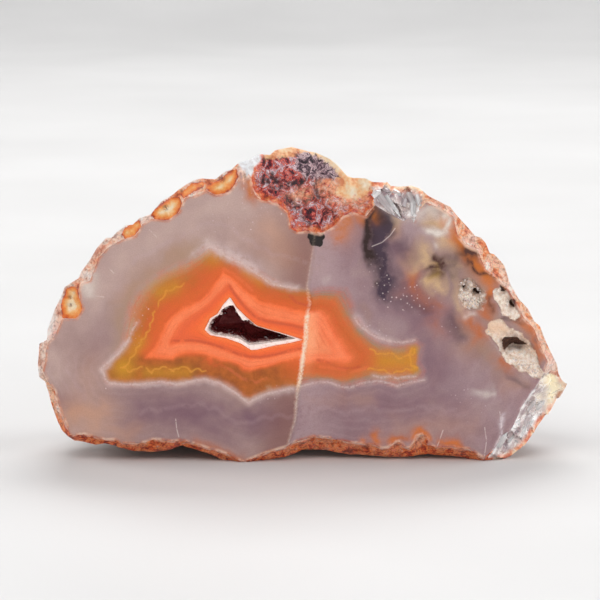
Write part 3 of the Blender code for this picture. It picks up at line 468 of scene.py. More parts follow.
# The openings of the little cavities, painted dark as the shade inside them
HOLES = [
    [(50.4, 34.1), (50.7, 33.8), (51.2, 33.75), (51.9, 34), (52.5, 34.3), (52.8, 34.65), (52.3, 34.75),
     (51.6, 34.65), (51.1, 34.9), (50.6, 35.2), (50.35, 34.7)],
    [(46.2, 28.65), (46.45, 28.6), (46.65, 28.45), (46.65, 28.75), (46.4, 28.95)],
    [(47.25, 29.15), (47.5, 28.95), (47.9, 29.05), (48, 29.4), (47.8, 29.55), (47.4, 29.45)],
    [(51, 30.2), (51.2, 29.95), (51.35, 30.4), (51.65, 30.7), (51.3, 30.85), (51.05, 30.6)],
    [(49.95, 28.6), (50.4, 28.4), (50.7, 28.8), (50.3, 29.2), (50, 29.1)],
]
# Pale and brick-coloured stretches of the rind
PALE_RIND = [
    ([(4, 35), (5, 32.8), (6.2, 29), (8, 27), (10.2, 24.2), (13.6, 22.2), (16.4, 20)], 0.7, 0.85),
    ([(19, 18.3), (22.6, 17.2)], 0.4, 0.6), ([(4, 36.3)], 1.6, 1), ([(8.7, 27.6)], 1, 0.9),
    ([(10.8, 24.6)], 1.6, 0.5), ([(24.9, 16.8)], 0.9, 1), ([(50.6, 28)], 0.8, 0.6),
    ([(55.3, 37.6)], 1.3, 0.75), ([(56.6, 39.3)], 0.9, 0.9), ([(47.2, 23.6)], 0.8, 0.5),
    ([(43.8, 20.3)], 0.9, 0.6), ([(54.2, 34.4)], 0.8, 0.5),
]
BRICK_RIND = [
    ([(6.2, 43.2), (9, 44.4), (14, 45.3), (18.4, 44.7), (24.2, 46.4), (31, 45.2), (38, 45.6),
      (49, 45.9)], 1.6, 1),
    ([(5.3, 33.2)], 0.7, 0.9),
]


def srgb(red, green, blue):
    """A colour given as seen, 0 to 255, as linear values with alpha."""
    return tuple((c / 255 / 12.92 if c <= 10 else ((c / 255 + 0.055) / 1.055) ** 2.4)
                 for c in (red, green, blue)) + (1.0,)


def smooth_rise(share):
    """0 below 0, 1 above 1, and smooth between."""
    share = np.clip(share, 0, 1)
    return share * share * (3 - 2 * share)


def line_length(points):
    return np.linalg.norm(np.diff(np.array(points, float), axis=0), axis=1).sum()


def along_line(points, count):
    """An open line read at this many evenly spaced places, both ends included."""
    corners = np.array(points, float)
    along = np.concatenate([[0], np.cumsum(np.linalg.norm(np.diff(corners, axis=0), axis=1))])
    places = np.linspace(0, along[-1], count)
    return np.stack([np.interp(places, along, corners[:, k]) for k in (0, 1)], 1)


def closed_ring(points, count):
    """The closed outline through the points, read at this many evenly spaced places."""
    return along_line(list(points) + [points[0]], count + 1)[:-1]


def distance_to_line(spots, line, closed=False):
    """The distance from each spot to a line through these points."""
    line = np.array(line, float)
    ends = np.roll(line, -1, axis=0) if closed else line[1:]
    nearest = np.full(len(spots), 1e9)
    for start, end in zip(line, ends):
        along = end - start
        away = spots - start
        share = np.clip((away @ along) / max(along @ along, 1e-12), 0, 1)
        gap = away - share[:, None] * along
        nearest = np.minimum(nearest, gap[:, 0] ** 2 + gap[:, 1] ** 2)
    return np.sqrt(nearest)


def scalloped(line, size, height):
    """A line drawn again as a row of small arcs of this size, bulging to its left."""
    fine = along_line(line, max(2, round(line_length(line) / 0.12)))
    along = np.gradient(fine, axis=0)
    along /= np.linalg.norm(along, axis=1)[:, None]
    run = np.concatenate([[0], np.cumsum(np.linalg.norm(np.diff(fine, axis=0), axis=1))])
    arcs = np.abs(np.sin(math.pi * (run / size + 0.25 * np.sin(run * 0.9))))
    return fine + np.column_stack([along[:, 1], -along[:, 0]]) * (arcs * height)[:, None]


def distance_to_lines(spots, lines):
    """The distance from each spot to the nearest of several lines."""
    return np.min([distance_to_line(spots, line) for line in lines], axis=0)


def inside_ring(spots, ring):
    """Whether each spot lies inside a closed outline, by counting the sides to its right."""
    inside = np.zeros(len(spots), bool)
    ring = np.array(ring, float)
    for (u0, v0), (u1, v1) in zip(ring, np.roll(ring, -1, axis=0)):
        if v0 == v1:
            continue
        crosses = (v0 > spots[:, 1]) != (v1 > spots[:, 1])
        cut = u0 + (spots[:, 1] - v0) * (u1 - u0) / (v1 - v0)
        inside ^= crosses & (spots[:, 0] < cut)
    return inside


def depth_inside(spots, ring):
    """The distance to an outline, above 0 inside it and below 0 outside."""
    distance = distance_to_line(spots, ring, closed=True)
    return np.where(inside_ring(spots, ring), distance, -distance)


def zone(spots, ring, softness):
    """1 inside an outline, 0 outside, with an edge this soft."""
    return smooth_rise(0.5 + depth_inside(spots, ring) / softness)


def streaks(spots, places):
    """Soft tints along lines: the strongest at each spot."""
    tint = np.zeros(len(spots))
    for line, reach, strength in places:
        away = distance_to_line(spots, line if len(line) > 1 else line * 2)
        tint = np.maximum(tint, strength * np.exp(-((away / reach) ** 1.6)))
    return tint


def lumps(spots, size, seed):
    """Smooth noise from about -1 to 1 at each 3-D spot, with lumps of this size."""
    offset = Vector((seed * 17.3, seed * 5.1, seed * 9.7))
    return np.array([noise.noise(Vector(spot) / size + offset) for spot in spots])


def flat(spots):
    """Spots of the sheet as 3-D places, for noise."""
    return np.column_stack([spots, np.zeros(len(spots))])


def swirled(spots, reach, size, seed):
    """The spots moved to and fro by up to this reach, in swirls of this size, to make outlines uneven."""
    places = flat(spots)
    return spots + reach * np.column_stack([lumps(places, size, seed), lumps(places, size, seed + 1)])


def knobs(points, size):
    """Rounded knobs of about this size with creases between them, from 0 in a crease to 1 on top."""
    nearest = np.array([noise.voronoi(Vector(p) / size)[0][:2] for p in points]).reshape(-1, 2)
    return smooth_rise((nearest[:, 1] - nearest[:, 0]) * 1.6)


def facets(spots, size, slope, seed):
    """Flat facets of this size, each tilted its own way, as height at each 3-D spot."""
    heights = np.empty(len(spots))
    for k, spot in enumerate(spots):
        place = Vector(spot) / size + Vector((seed * 3.1, seed * 7.7, seed * 1.3))
        centre = noise.voronoi(place)[1][0]
        tilt = noise.cell_vector(centre * 37.0)
        away = place - centre
        heights[k] = ((tilt.x - 0.5) * away.x + (tilt.y - 0.5) * away.y) * 2 * slope + (tilt.z - 0.5) * 0.35
    return heights * size


def crack_u(v):
    """Where the crack runs at this height of the sheet."""
    line = np.array(CRACK)
    return np.interp(v, line[:, 1], line[:, 0])


def widened(ring, gap):
    """A clockwise outline moved outwards by this gap, less at its sharpest corners."""
    along = np.roll(ring, -1, axis=0) - ring
    outward = np.column_stack([along[:, 1], -along[:, 0]]) / np.linalg.norm(along, axis=1)[:, None]
    both = outward + np.roll(outward, 1, axis=0)
    return ring + both * gap / np.maximum((both * outward).sum(1), 0.25)[:, None]


def by_angle(ring, middle, values=None):
    """The directions of an outline's points from the middle, in order, and their distances or values."""
    away = ring - middle
    angles = np.arctan2(away[:, 1], away[:, 0])
    order = np.argsort(angles)
    return angles[order], (np.linalg.norm(away, axis=1) if values is None else values)[order]


def ring_share(spots, ring, middle):
    """How far each spot is from the middle, as a share of the way to the outline in its direction."""
    away = spots - middle
    reach = np.interp(np.arctan2(away[:, 1], away[:, 0]), *by_angle(ring, middle), period=2 * math.pi)
    return np.linalg.norm(away, axis=1) / reach


def cavity_share(spots, cavity):
    """How far each spot is from a small cavity's middle, as a share of the way to its edge."""
    middle_u, middle_v, long_radius, short_radius, turn, _ = cavity
    angle = math.radians(turn)
    du, dv = spots[:, 0] - middle_u, spots[:, 1] - middle_v
    along = du * math.cos(angle) + dv * math.sin(angle)
    across = dv * math.cos(angle) - du * math.sin(angle)
    return np.hypot(along / long_radius, across / short_radius)


def border_slope(spots):
    """How steeply the rough border falls back at each spot."""
    slope = np.full(len(spots), USUAL_SLOPE)
    for middle, reach, value in SLOPES:
        near = 1 - smooth_rise(np.linalg.norm(spots - np.array(middle), axis=1) / reach * 1.6 - 0.6)
        slope += near * (value - slope)
    return slope


def rough_relief(spots):
    """The grain of the rough border, and the flat facets of the two chips."""
    places = flat(spots)
    chip = np.maximum(zone(spots, UPPER_CHIP, 0.3), zone(spots, LOWER_CHIP, 0.3))
    grain = 0.16 * lumps(places, 0.7, 4) + 0.1 * lumps(places, 0.32, 5) + 0.1 * (1 - knobs(places, 0.6))
    broken = facets(places, 1.5, 0.55, 2) + facets(places, 0.75, 0.5, 3) * 0.6
    return grain * (1 - chip) + broken * chip


def cream_relief(spots):
    """The pits of the cream quartz, and the lumps in the large cavity."""
    places = flat(spots)
    share = np.max([zone(spots, ring, 0.2) for ring in CREAM_ZONES], axis=0)
    granular = np.maximum(zone(spots, CREAM_ZONES[0], 0.6), smooth_rise((spots.sum(1) - GRANULAR_SUM) / 1.5))
    pitted = 0.1 + 0.12 * lumps(places, 0.5, 6) + (0.08 + 0.3 * granular) * (1 - knobs(places, 0.5))
    relief = share * pitted.clip(0)
    for middle_u, middle_v, reach, height in CAVITY_LUMPS:
        away = np.hypot(spots[:, 0] - middle_u, spots[:, 1] - middle_v) / reach
        relief -= height * smooth_rise(1.2 - away) * (1 + 0.2 * lumps(places, 0.4, 9))
    return relief


def face_depth(spots, edge, mouth):
    """How far the front surface lies behind the polished plane, at each spot of the sheet."""
    rough = ~inside_ring(spots, edge)
    away = distance_to_line(spots, edge, closed=True) * rough
    depth = STEP_DEPTH * smooth_rise((spots[:, 0] - crack_u(spots[:, 1])) / STEP_WIDTH)
    depth += EDGE_DROP * (1 - np.exp(-away / EDGE_ROUND)) + border_slope(spots) * away
    depth += smooth_rise(away / 1.2) * 0.45 * lumps(flat(spots), 1.9, 1)
    for cavity in CAVITIES:
        depth += cavity[5] * smooth_rise((1 - cavity_share(spots, cavity)) / 0.6)
    depth[rough] += smooth_rise(away[rough] / 0.35) * rough_relief(spots[rough])
    depth[~rough] += cream_relief(spots[~rough])
    wall = np.interp(ring_share(spots, mouth, HOLLOW_CENTRE), *zip(*HOLLOW_WALL[::-1]))
    return np.maximum(depth, 0) + wall


def spread_points(ring, spacing, keep_away):
    """Points of a triangular grid inside an outline, and this far from its edge."""
    low, high = ring.min(0), ring.max(0)
    rows = []
    for k, v in enumerate(np.arange(low[1], high[1], spacing * 0.866)):
        us = np.arange(low[0] + spacing / 2 * (k % 2), high[0], spacing)
        rows.append(np.column_stack([us, np.full(len(us), v)]))
    grid = np.concatenate(rows)
    grid = grid[inside_ring(grid, ring)]
    return grid[distance_to_line(grid, ring, closed=True) > keep_away]


def clear_of(points, others, gap):
    """The points that are at least this far from the others."""
    tree = kdtree.KDTree(len(others))
    for k, other in enumerate(others):
        tree.insert((*other, 0.0), k)
    tree.balance()
    return points[[tree.find((*point, 0.0))[2] > gap for point in points]]


def triangulated(groups, sides):
    """Points and triangles over the sheet, inside the first group, which is the rim."""
    points = np.concatenate(groups)
    found, _, faces, *_ = delaunay_2d_cdt([Vector(p) for p in points], sides, [], 0, 1e-7)
    spots = np.array([(p[0], p[1]) for p in found])
    middles = np.array([spots[list(face)].mean(0) for face in faces])
    return spots, [list(face) for face, keep in zip(faces, inside_ring(middles, groups[0])) if keep]


def ring_sides(count, first=0):
    """The sides of a ring of points, each as the numbers of its two ends."""
    return [(first + k, first + (k + 1) % count) for k in range(count)]


def face_outlines():
    """The edge of the polished face and the hollow's mouth, as evenly spaced points."""
    edge = closed_ring(FACE_EDGE, round(line_length(FACE_EDGE) / LINE_SPACING))
    return edge, widened(closed_ring(HOLLOW_MOUTH, MOUTH_POINTS), MOUTH_GAP)


def yellow_curls():
    """The yellow lines as rows of small arcs."""
    return [scalloped(line, *YELLOW_ARCS) for line in YELLOW_LINES]


def front_sheet():
    """Points and triangles of the whole front, with edges along every outline. The rim comes first."""
    rim = closed_ring(SILHOUETTE, round(line_length(SILHOUETTE) / LINE_SPACING))
    edge, mouth = face_outlines()
    edge = edge[distance_to_line(edge, rim, closed=True) > LINE_SPACING]
    rings = [rim, edge]
    rings += [HOLLOW_CENTRE + (mouth - HOLLOW_CENTRE) * share for share, _ in HOLLOW_WALL[:-1]]
    sides = []
    for ring in rings:
        sides += ring_sides(len(ring), len(sides))
    line_v = np.arange(CRACK[0][1] + 0.15, CRACK[-1][1] - 0.15, LINE_SPACING)
    marks = [np.column_stack([crack_u(line_v) + offset, line_v]) for offset in (0.0, STEP_WIDTH)]
    marks += [along_line(line, max(2, round(line_length(line) / LINE_SPACING)))
              for line in WHITE_LINES + DARK_LINES + SCRATCHES]
    marks = np.concatenate(marks + yellow_curls() + [np.array(DUST)])
    marks = marks[inside_ring(marks, edge) & (ring_share(marks, mouth, HOLLOW_CENTRE) > 1.05)]
    marks = clear_of(marks, np.concatenate(rings), LINE_SPACING * 0.4)
    fixed = np.concatenate(rings + [marks])
    grid = clear_of(spread_points(rim, FACE_SPACING, FACE_SPACING * 0.5), fixed, FACE_SPACING * 0.55)
    spots, triangles = triangulated(rings + [marks, grid], sides)
    return spots, face_depth(spots, edge, mouth), triangles, rim, edge


def on_stone(spots, depth):
    """Millimetres on the stone for sheet spots at this depth behind the polished plane."""
    return np.column_stack([spots[:, 0] - SHEET_LEFT + STONE_LOW[0], depth + STONE_LOW[1],
                            (SHEET_FOOT_V - spots[:, 1]) * SHEET_RISE - FOOT_FLAT])


def stand_on_feet(points):
    """Draws the underside down to the feet and wears their tips flat, as on the solid."""
    solid = points + SOLID_OFFSET
    low = 1 - smooth_rise((solid[:, 2] - 1.0) / 9.0)
    for foot_x, foot_depth, width, drop in FEET:
        away = np.hypot(solid[:, 0] - foot_x, solid[:, 1] - foot_depth)
        points[:, 2] -= low * drop * np.exp(-((away / width) ** 2))
    points[:, 2] = np.maximum(points[:, 2], 0)
    return points


def rim_reach(rim, angles, spread):
    """The rim's distance from the dome's middle in these directions, evened out over this many degrees."""
    steps_per_degree = 4
    around = np.radians(np.arange(-180, 180, 1 / steps_per_degree))
    reach = np.interp(around, *by_angle(rim, DOME_MIDDLE), period=2 * math.pi)
    if spread:
        spread *= steps_per_degree
        steps = np.arange(-3 * spread, 3 * spread + 1)
        weights = np.exp(-((steps / spread) ** 2))
        reach = sum(w * np.roll(reach, step) for w, step in zip(weights, steps)) / weights.sum()
    return np.interp(angles, around, reach, period=2 * math.pi)


def dome_points(spots, rim, rim_depth):
    """Where the back lies over these sheet spots: flat below, so that the stone stands on it."""
    away = spots - DOME_MIDDLE
    angles = np.arctan2(away[:, 1], away[:, 0])
    turn = (1 - ring_share(spots, rim, DOME_MIDDLE)).clip(0.006, 1) * math.pi / 2
    reach = rim_reach(rim, angles, 0)
    down = smooth_rise(np.sin(angles) * reach / 12.0)
    for spread, begin in ((5, 0.0), (16, 0.35)):
        reach += (rim_reach(rim, angles, spread) - reach) * smooth_rise((turn - begin) / (0.5 - 0.35 * down))
    start = 0.22 * (1 - down)
    power = 2 / (2.1 + 1.5 * down)
    quarter = math.pi / 2
    turned = start + (quarter - start) * (turn / quarter) ** (1 / np.sqrt(power))
    narrowing = (np.cos(turned) / np.cos(start)).clip(0) ** power
    deepening = ((np.sin(turned) - np.sin(start)) / (1 - np.sin(start))).clip(0, 1) ** power
    u = DOME_MIDDLE[0] + DOME_SHIFT[0] * deepening + np.cos(angles) * reach * narrowing
    v = DOME_MIDDLE[1] + DOME_SHIFT[1] * deepening + np.sin(angles) * reach * narrowing
    begin = np.interp(angles, *by_angle(rim, DOME_MIDDLE, rim_depth), period=2 * math.pi)
    points = on_stone(np.column_stack([u, v]), begin + (STONE_DEPTH - begin) * deepening)
    middle = on_stone(np.array([DOME_MIDDLE]), np.zeros(1))
    outward = (points - middle) / np.array(DOME_RADII) ** 2
    outward /= np.linalg.norm(outward, axis=1)[:, None]
    solid = points + SOLID_OFFSET
    height = 0.9 * lumps(solid, 7.5, 2) + 0.55 * knobs(solid, 4.6) + 0.25 * lumps(solid, 2.6, 3) - 0.6
    fine = 0.16 * lumps(solid, 1.1, 7) + 0.07 * lumps(solid, 0.5, 8) + 0.16 * (knobs(solid, 1.3) - 0.7)
    points += outward * (height * smooth_rise(turn / 0.45) + fine * smooth_rise(turn / 0.12))[:, None]
    return points, height * 0.4 + fine * 2.0


def band_place(spots):
    """Where each spot of the face lies among the bands, 0 in the hollow and FACE_END at the face's edge,
    and its distance from the outermost band, above 0 outside it."""
    right = spots[:, 0] > crack_u(spots[:, 1]) + STEP_WIDTH * 0.6
    place = np.full(len(spots), FACE_END)
    fringe = np.zeros(len(spots))
    for bands, side in ((LEFT_BANDS, ~right), (RIGHT_BANDS, right)):
        rings = bands + [FACE_EDGE]
        here = spots[side]
        distances = [distance_to_line(here, ring, closed=True) for ring in rings]
        values = np.full(len(here), FACE_END)
        for k in range(len(rings) - 1, 0, -1):
            inner = inside_ring(here, rings[k])
            share = distances[k - 1] / (distances[k - 1] + distances[k] + 1e-6)
            values[inner] = (k - 1 + share)[inner]
        values[inside_ring(here, rings[0])] = 0
        place[side] = values
        fringe[side] = -depth_inside(here, bands[-1])
    return place, fringe


def crack_highlights(spots):
    """Painted highlight: a thin line on the crack's step wall, and a pale spread to its right by the salmon
    band.
    """
    v = spots[:, 1]
    across = spots[:, 0] - crack_u(v)
    width = np.interp(v, [23, 31.2, 31.6, 36, 38.6, 45], [0.08, 0.12, 0.26, 0.3, 0.22, 0.1])
    strength = np.interp(v, [23, 28, 29.4, 31.2, 31.6, 34.4, 38.4, 39.2, 45],
                         [0.1, 0.1, 0.5, 0.6, 1, 0.9, 1, 0.4, 0.25])
    from_crack = smooth_rise((across + 0.05) / 0.1)
    line = strength * from_crack * (1 - smooth_rise((across - width) / 0.15))
    beside = np.interp(v, [31.1, 31.5, 34.4, 36.2, 38.2], [0, 0.9, 0.85, 0.5, 0])
    return line, beside * from_crack * (1 - smooth_rise((across - 0.2) / 1.7))


def right_of_backdrop_dark(spots):
    """The painted dark, a black backdrop seen through the clear stone, ends in a crisp line on its left."""
    edge = np.array(BACKDROP_DARK_EDGE)
    left = np.interp(spots[:, 1], edge[:, 1], edge[:, 0])
    return smooth_rise((spots[:, 0] - left) / 0.3 + 0.5)


def orb_ramp(spots):
    """0 outside the small orbs of the rim, and from their edges to their middles 0 to 1."""
    ramp = np.zeros(len(spots))
    for ring in ORBS:
        inward = depth_inside(spots, ring)
        ramp = np.maximum(ramp, np.clip(inward / 0.8, 0, 1) * 0.9 + (inward > 0) * 0.1)
    return ramp


def face_marks(spots):
    """Every mask and distance that the materials colour the front by, at each spot of the sheet."""
    u, v = spots.T
    place, fringe = band_place(spots)
    wall, side_highlight = crack_highlights(spots)
    across = u - crack_u(v)
    lower_left = smooth_rise(v - 35.0) * (1 - smooth_rise((u - 27.0) / 3.0))
    loose = swirled(swirled(spots, 0.8, 2.2, 21), 0.35, 0.7, 23)
    uneven = swirled(swirled(spots, 0.25, 0.8, 25), 0.1, 0.3, 27)
    marks = {name: streaks(loose, places) for name, places in TINTS.items()}
    marks |= {name: streaks(uneven, places) for name, places in CRISP_TINTS.items()}
    for name, places in (("yellow", YELLOW_TIPS), ("pale_rind", PALE_RIND), ("brick_rind", BRICK_RIND)):
        marks[name] = streaks(spots, places)
    # The painted dark and the violet stop at that edge
    left_of_backdrop_dark = smooth_rise((38 - u) / 3) * (1 - right_of_backdrop_dark(spots)) * (v < 31) * (u > 35)
    for name in ("black", "dusk", "violet"):
        marks[name] *= 1 - left_of_backdrop_dark
    lilac_curls = [scalloped(line, *LILAC_ARCS) for line in LILAC_LINES]
    for name, lines in (
            ("yellow_line", yellow_curls()), ("salmon_line", SALMON_LINES), ("scratch", SCRATCHES),
            ("dark_line", DARK_LINES), ("white_line", WHITE_LINES), ("lilac_line", lilac_curls)):
        marks[name] = distance_to_lines(spots, lines).clip(0, FAR)
    chips = np.maximum(depth_inside(spots, UPPER_CHIP), depth_inside(spots, LOWER_CHIP))
    for name, depth in (
            ("patch", depth_inside(uneven, MATRIX_PATCH)), ("cap", depth_inside(spots, PEACH_CAP)),
            ("dark_cap", depth_inside(spots, DARK_CAP)), ("chip", chips)):
        marks[name] = depth.clip(-FAR, FAR)
    marks |= {
        "band": place,
        "fringe": fringe.clip(-4, 6),
        "border": -depth_inside(spots, FACE_EDGE).clip(-4, 4),
        "right": smooth_rise(across / STEP_WIDTH),
        "haze": smooth_rise(across / 0.2) * (1 - smooth_rise((across - 0.8) / 4.5)),
        "shade": (across < 0.05) * (1 - smooth_rise((-across - 0.5) / 4.0)),
        # Painted highlight on the crack's step wall and spread beside it
        "wall": wall,
        "side_highlight": side_highlight,
        "brown_band": lower_left * smooth_rise((place - 1.9) / 0.3) * (1 - smooth_rise((place - 3.4) / 0.6)),
        "dust": np.min([np.hypot(u - dust_u, v - dust_v) for dust_u, dust_v in DUST], axis=0).clip(0, 1),
        "lower": smooth_rise((v - 34.0) / 3.0),
        "cream": np.max([zone(uneven, *pair) for pair in zip(CREAM_ZONES, CREAM_SOFTNESS)], axis=0),
        "speckled": zone(uneven, CREAM_ZONES[0], 1.0),
        # The cavities' openings and the ring round them, where shade is painted
        "hole": np.max([zone(uneven, ring, 0.14) for ring in HOLES], axis=0),
        "hole_shade": np.max([smooth_rise(1 + depth_inside(uneven, ring) / 0.8) for ring in HOLES], axis=0),
        "orb": orb_ramp(spots),
        "pit": np.max([1 - smooth_rise(np.hypot(u - pit_u, v - pit_v) / reach * 1.3 - 0.3)
                       for pit_u, pit_v, reach in ORB_PITS], axis=0),
        "outer_edge": depth_inside(spots, SILHOUETTE).clip(0, 2),
    }
    return marks


class Shades:
    """One material and the nodes that make it."""

    def __init__(self, name):
        self.material = bpy.data.materials.new(name)
        self.material.use_nodes = True
        self.nodes = self.material.node_tree.nodes
        self.shader = self.nodes["Principled BSDF"]
        self.place = self.nodes.new("ShaderNodeTexCoord").outputs["Object"]

    def put(self, value, socket):
        """Gives a socket an output, a mesh attribute by its name, a colour as seen or a plain number."""
        if isinstance(value, str):
            node = self.nodes.new("ShaderNodeAttribute")
            node.attribute_name = value
            value = node.outputs["Fac"]
        if isinstance(value, bpy.types.NodeSocket):
            self.material.node_tree.links.new(value, socket)
        else:
            socket.default_value = srgb(*value) if isinstance(value, tuple) else value

    def noise(self, size, detail=3.0, roughness=0.55, distortion=0.0):
        """Noise from 0 to 1 with lumps of this many millimetres."""
        node = self.nodes.new("ShaderNodeTexNoise")
        self.put(self.place, node.inputs["Vector"])
        node.inputs["Scale"].default_value = 1 / (size * MM)
        node.inputs["Detail"].default_value = detail
        node.inputs["Roughness"].default_value = roughness
        node.inputs["Distortion"].default_value = distortion
        return node.outputs["Fac"]

    def cells(self, size, feature="F1"):
        """The distance inside cells of this many millimetres, in cell sizes."""
        node = self.nodes.new("ShaderNodeTexVoronoi")
        node.feature = feature
        self.put(self.place, node.inputs["Vector"])
        node.inputs["Scale"].default_value = 1 / (size * MM)
        return node.outputs["Distance"]

    def math(self, operation, first, second=0.0):
        node = self.nodes.new("ShaderNodeMath")
        node.operation = operation
        self.put(first, node.inputs[0])
        self.put(second, node.inputs[1])
        return node.outputs[0]

    def product(self, *values):
        result = values[0]
        for value in values[1:]:
            result = self.math("MULTIPLY", result, value)
        return result

    def shifted(self, value, other, amount):
        """The value moved up and down by another that runs from 0 to 1."""
        return self.math("ADD", value, self.math("MULTIPLY", self.math("SUBTRACT", other, 0.5), amount))

    def rise(self, value, low, high):
        """0 at low and 1 at high, smooth between, or the other way round where low is above high."""
        node = self.nodes.new("ShaderNodeMapRange")
        node.interpolation_type = "SMOOTHSTEP"
        self.put(value, node.inputs["Value"])
        node.inputs["From Min"].default_value = low
        node.inputs["From Max"].default_value = high
        return node.outputs["Result"]

    def blend(self, share, below, above, kind="MIX"):
        """One colour over another by a share from 0 to 1."""
        node = self.nodes.new("ShaderNodeMix")
        node.data_type = "RGBA"
        node.blend_type = kind
        self.put(share, node.inputs["Factor"])
        self.put(below, node.inputs[6])
        self.put(above, node.inputs[7])
        return node.outputs[2]

    def laid(self, below, above, *masks):
        """One colour laid over another, as far as all the masks let it."""
        return self.blend(self.product(*masks), below, above)

    def ramp(self, share, stops):
        """A colour ramp through (place, red, green, blue) stops, the colours given as seen."""
        node = self.nodes.new("ShaderNodeValToRGB")
        self.put(share, node.inputs["Fac"])
        elements = node.color_ramp.elements
        while len(elements) < len(stops):
            elements.new(1.0)
        for element, (place, *colour) in zip(elements, stops):
            element.position = place
            element.color = srgb(*colour)
        return node.outputs["Color"]

    def bump(self, height, distance, below=None):
        """A normal from a height of 0 to 1, which stands for this many millimetres."""
        node = self.nodes.new("ShaderNodeBump")
        node.inputs["Distance"].default_value = distance * MM
        self.put(height, node.inputs["Height"])
        if below is not None:
            self.put(below, node.inputs["Normal"])
        return node.outputs["Normal"]

    def settings(self, values):
        """Plain values for the shader's own sockets, by their names."""
        for name, value in values.items():
            self.shader.inputs[name].default_value = value

    def finish(self, colour, roughness, normal=None):
        self.put(colour, self.shader.inputs["Base Color"])
        self.put(roughness, self.shader.inputs["Roughness"])
        if normal is not None:
            self.put(normal, self.shader.inputs["Normal"])
        return self.material


def band_colours(m):
    """The bands round the hollow, whose colours differ on the two sides of the crack."""
    band = m.shifted(m.shifted("band", m.noise(0.9, 2), 0.3), m.noise(0.25, 2), 0.12)
    share = m.math("DIVIDE", band, FACE_END)
    left = m.ramp(share, [
        (0.00, 254, 126, 62), (0.10, 248, 108, 52), (0.18, 236, 102, 56), (0.22, 246, 114, 64),
        (0.27, 255, 136, 86), (0.33, 255, 134, 84), (0.385, 250, 120, 64), (0.415, 226, 100, 42),
        (0.50, 208, 98, 38), (0.56, 194, 102, 40), (0.61, 186, 112, 52), (0.66, 186, 128, 82),
        (0.73, 186, 144, 112), (0.80, 178, 148, 134)])
    right = m.ramp(share, [
        (0.00, 254, 170, 128), (0.18, 250, 146, 98), (0.28, 250, 130, 84), (0.35, 255, 138, 90),
        (0.40, 250, 126, 76), (0.45, 218, 106, 50), (0.50, 206, 98, 42), (0.56, 208, 110, 54),
        (0.61, 182, 122, 80), (0.67, 158, 130, 110), (0.73, 160, 126, 116), (0.82, 156, 126, 128)])
    colour = m.blend("right", left, right)
    # Fine bands, which follow the broad ones
    waves = m.math("SINE", m.product(m.shifted("band", m.noise(0.7, 3), 0.16), 19.0))
    colour = m.laid(colour, (216, 84, 40), m.rise(waves, 0.0, 1.0), m.rise(m.noise(1.8, 2), 0.4, 0.65), 0.26)
    colour = m.laid(colour, (226, 96, 52), m.rise(m.noise(1.4, 3, 0.6), 0.35, 0.7), 0.3)
    brown = m.ramp(m.noise(0.8, 3), [(0.35, 150, 80, 28), (0.65, 186, 100, 36)])
    colour = m.laid(colour, brown, "brown_band", m.rise(m.noise(1.6, 2), 0.2, 0.45), 0.9)
    return m.laid(colour, (204, 142, 34), "yellow", m.rise("fringe", 0.1, -0.5), m.rise(band, 2.0, 2.5))


def clear_stone(m):
    """The clear stone outside the bands, its clouds and tints, and the painted dark of a backdrop seen
    through it.
    """
    cloud = m.noise(3.0, 4)
    left = m.ramp(cloud, [(0.3, 160, 130, 126), (0.5, 172, 142, 136), (0.72, 186, 156, 148)])
    right = m.ramp(cloud, [(0.3, 146, 114, 118), (0.5, 156, 126, 130), (0.7, 166, 138, 136)])
    colour = m.blend("right", left, right)
    waves = m.math("SINE", m.product(m.shifted("band", m.noise(1.6, 3), 0.22), 44.0))
    colour = m.laid(colour, (206, 176, 178), m.rise(waves, 0.0, 1.0), "lower", 0.1)
    ragged = m.math("ADD", m.product(m.rise(m.noise(0.7, 4, 0.6), 0.15, 0.6), 0.7), 0.55)
    soft = m.math("ADD", m.product(m.rise(m.noise(2.4, 2, 0.4), 0.2, 0.7), 0.35), 0.75)
    # black, and dusk by the crack, are painted dark: a black backdrop seen through the clear stone
    for name, pattern, amount, tint in (
            ("violet", soft, 0.85, (124, 90, 102)), ("lilac", soft, 0.7, (178, 152, 154)),
            ("pale", soft, 0.75, (202, 174, 164)), ("peach", soft, 0.8, (198, 150, 124)),
            ("halo", soft, 0.7, (170, 136, 112)), ("rust", ragged, 0.85, (188, 104, 62)),
            ("orange", ragged, 0.85, (210, 116, 56)), ("tan", ragged, 0.9, (208, 172, 134)),
            ("olive", ragged, 0.85, (168, 132, 52)), ("dusk", ragged, 0.95, (66, 48, 64)),
            ("amber", soft, 0.85, (198, 108, 42)), ("umber", ragged, 0.95, (76, 44, 38)),
            ("black", ragged, 0.97, (44, 22, 18)), ("milk", ragged, 0.85, (224, 212, 202))):
        colour = m.laid(colour, tint, m.math("MINIMUM", m.product(name, pattern, amount), 0.97))
    return colour


def thin_lines(m, colour, broken):
    """The thin lines of the face, broken up along their length."""
    speckled = m.rise(m.noise(0.2, 2), 0.3, 0.6)
    for name, reach, pattern, amount, tint in (
            ("dark_line", 0.26, broken, 0.6, (198, 76, 48)),
            ("salmon_line", 0.3, broken, 0.3, (250, 128, 76)),
            ("yellow_line", 0.17, broken, 0.6, (226, 156, 54)),
            ("lilac_line", 0.4, broken, 0.14, (196, 168, 172)),
            ("white_line", 0.6, broken, 0.35, (200, 172, 166)),
            ("white_line", 0.2, speckled, 0.5, (222, 196, 188))):
        colour = m.laid(colour, tint, m.rise(name, reach, 0.0), pattern, amount)
    return colour


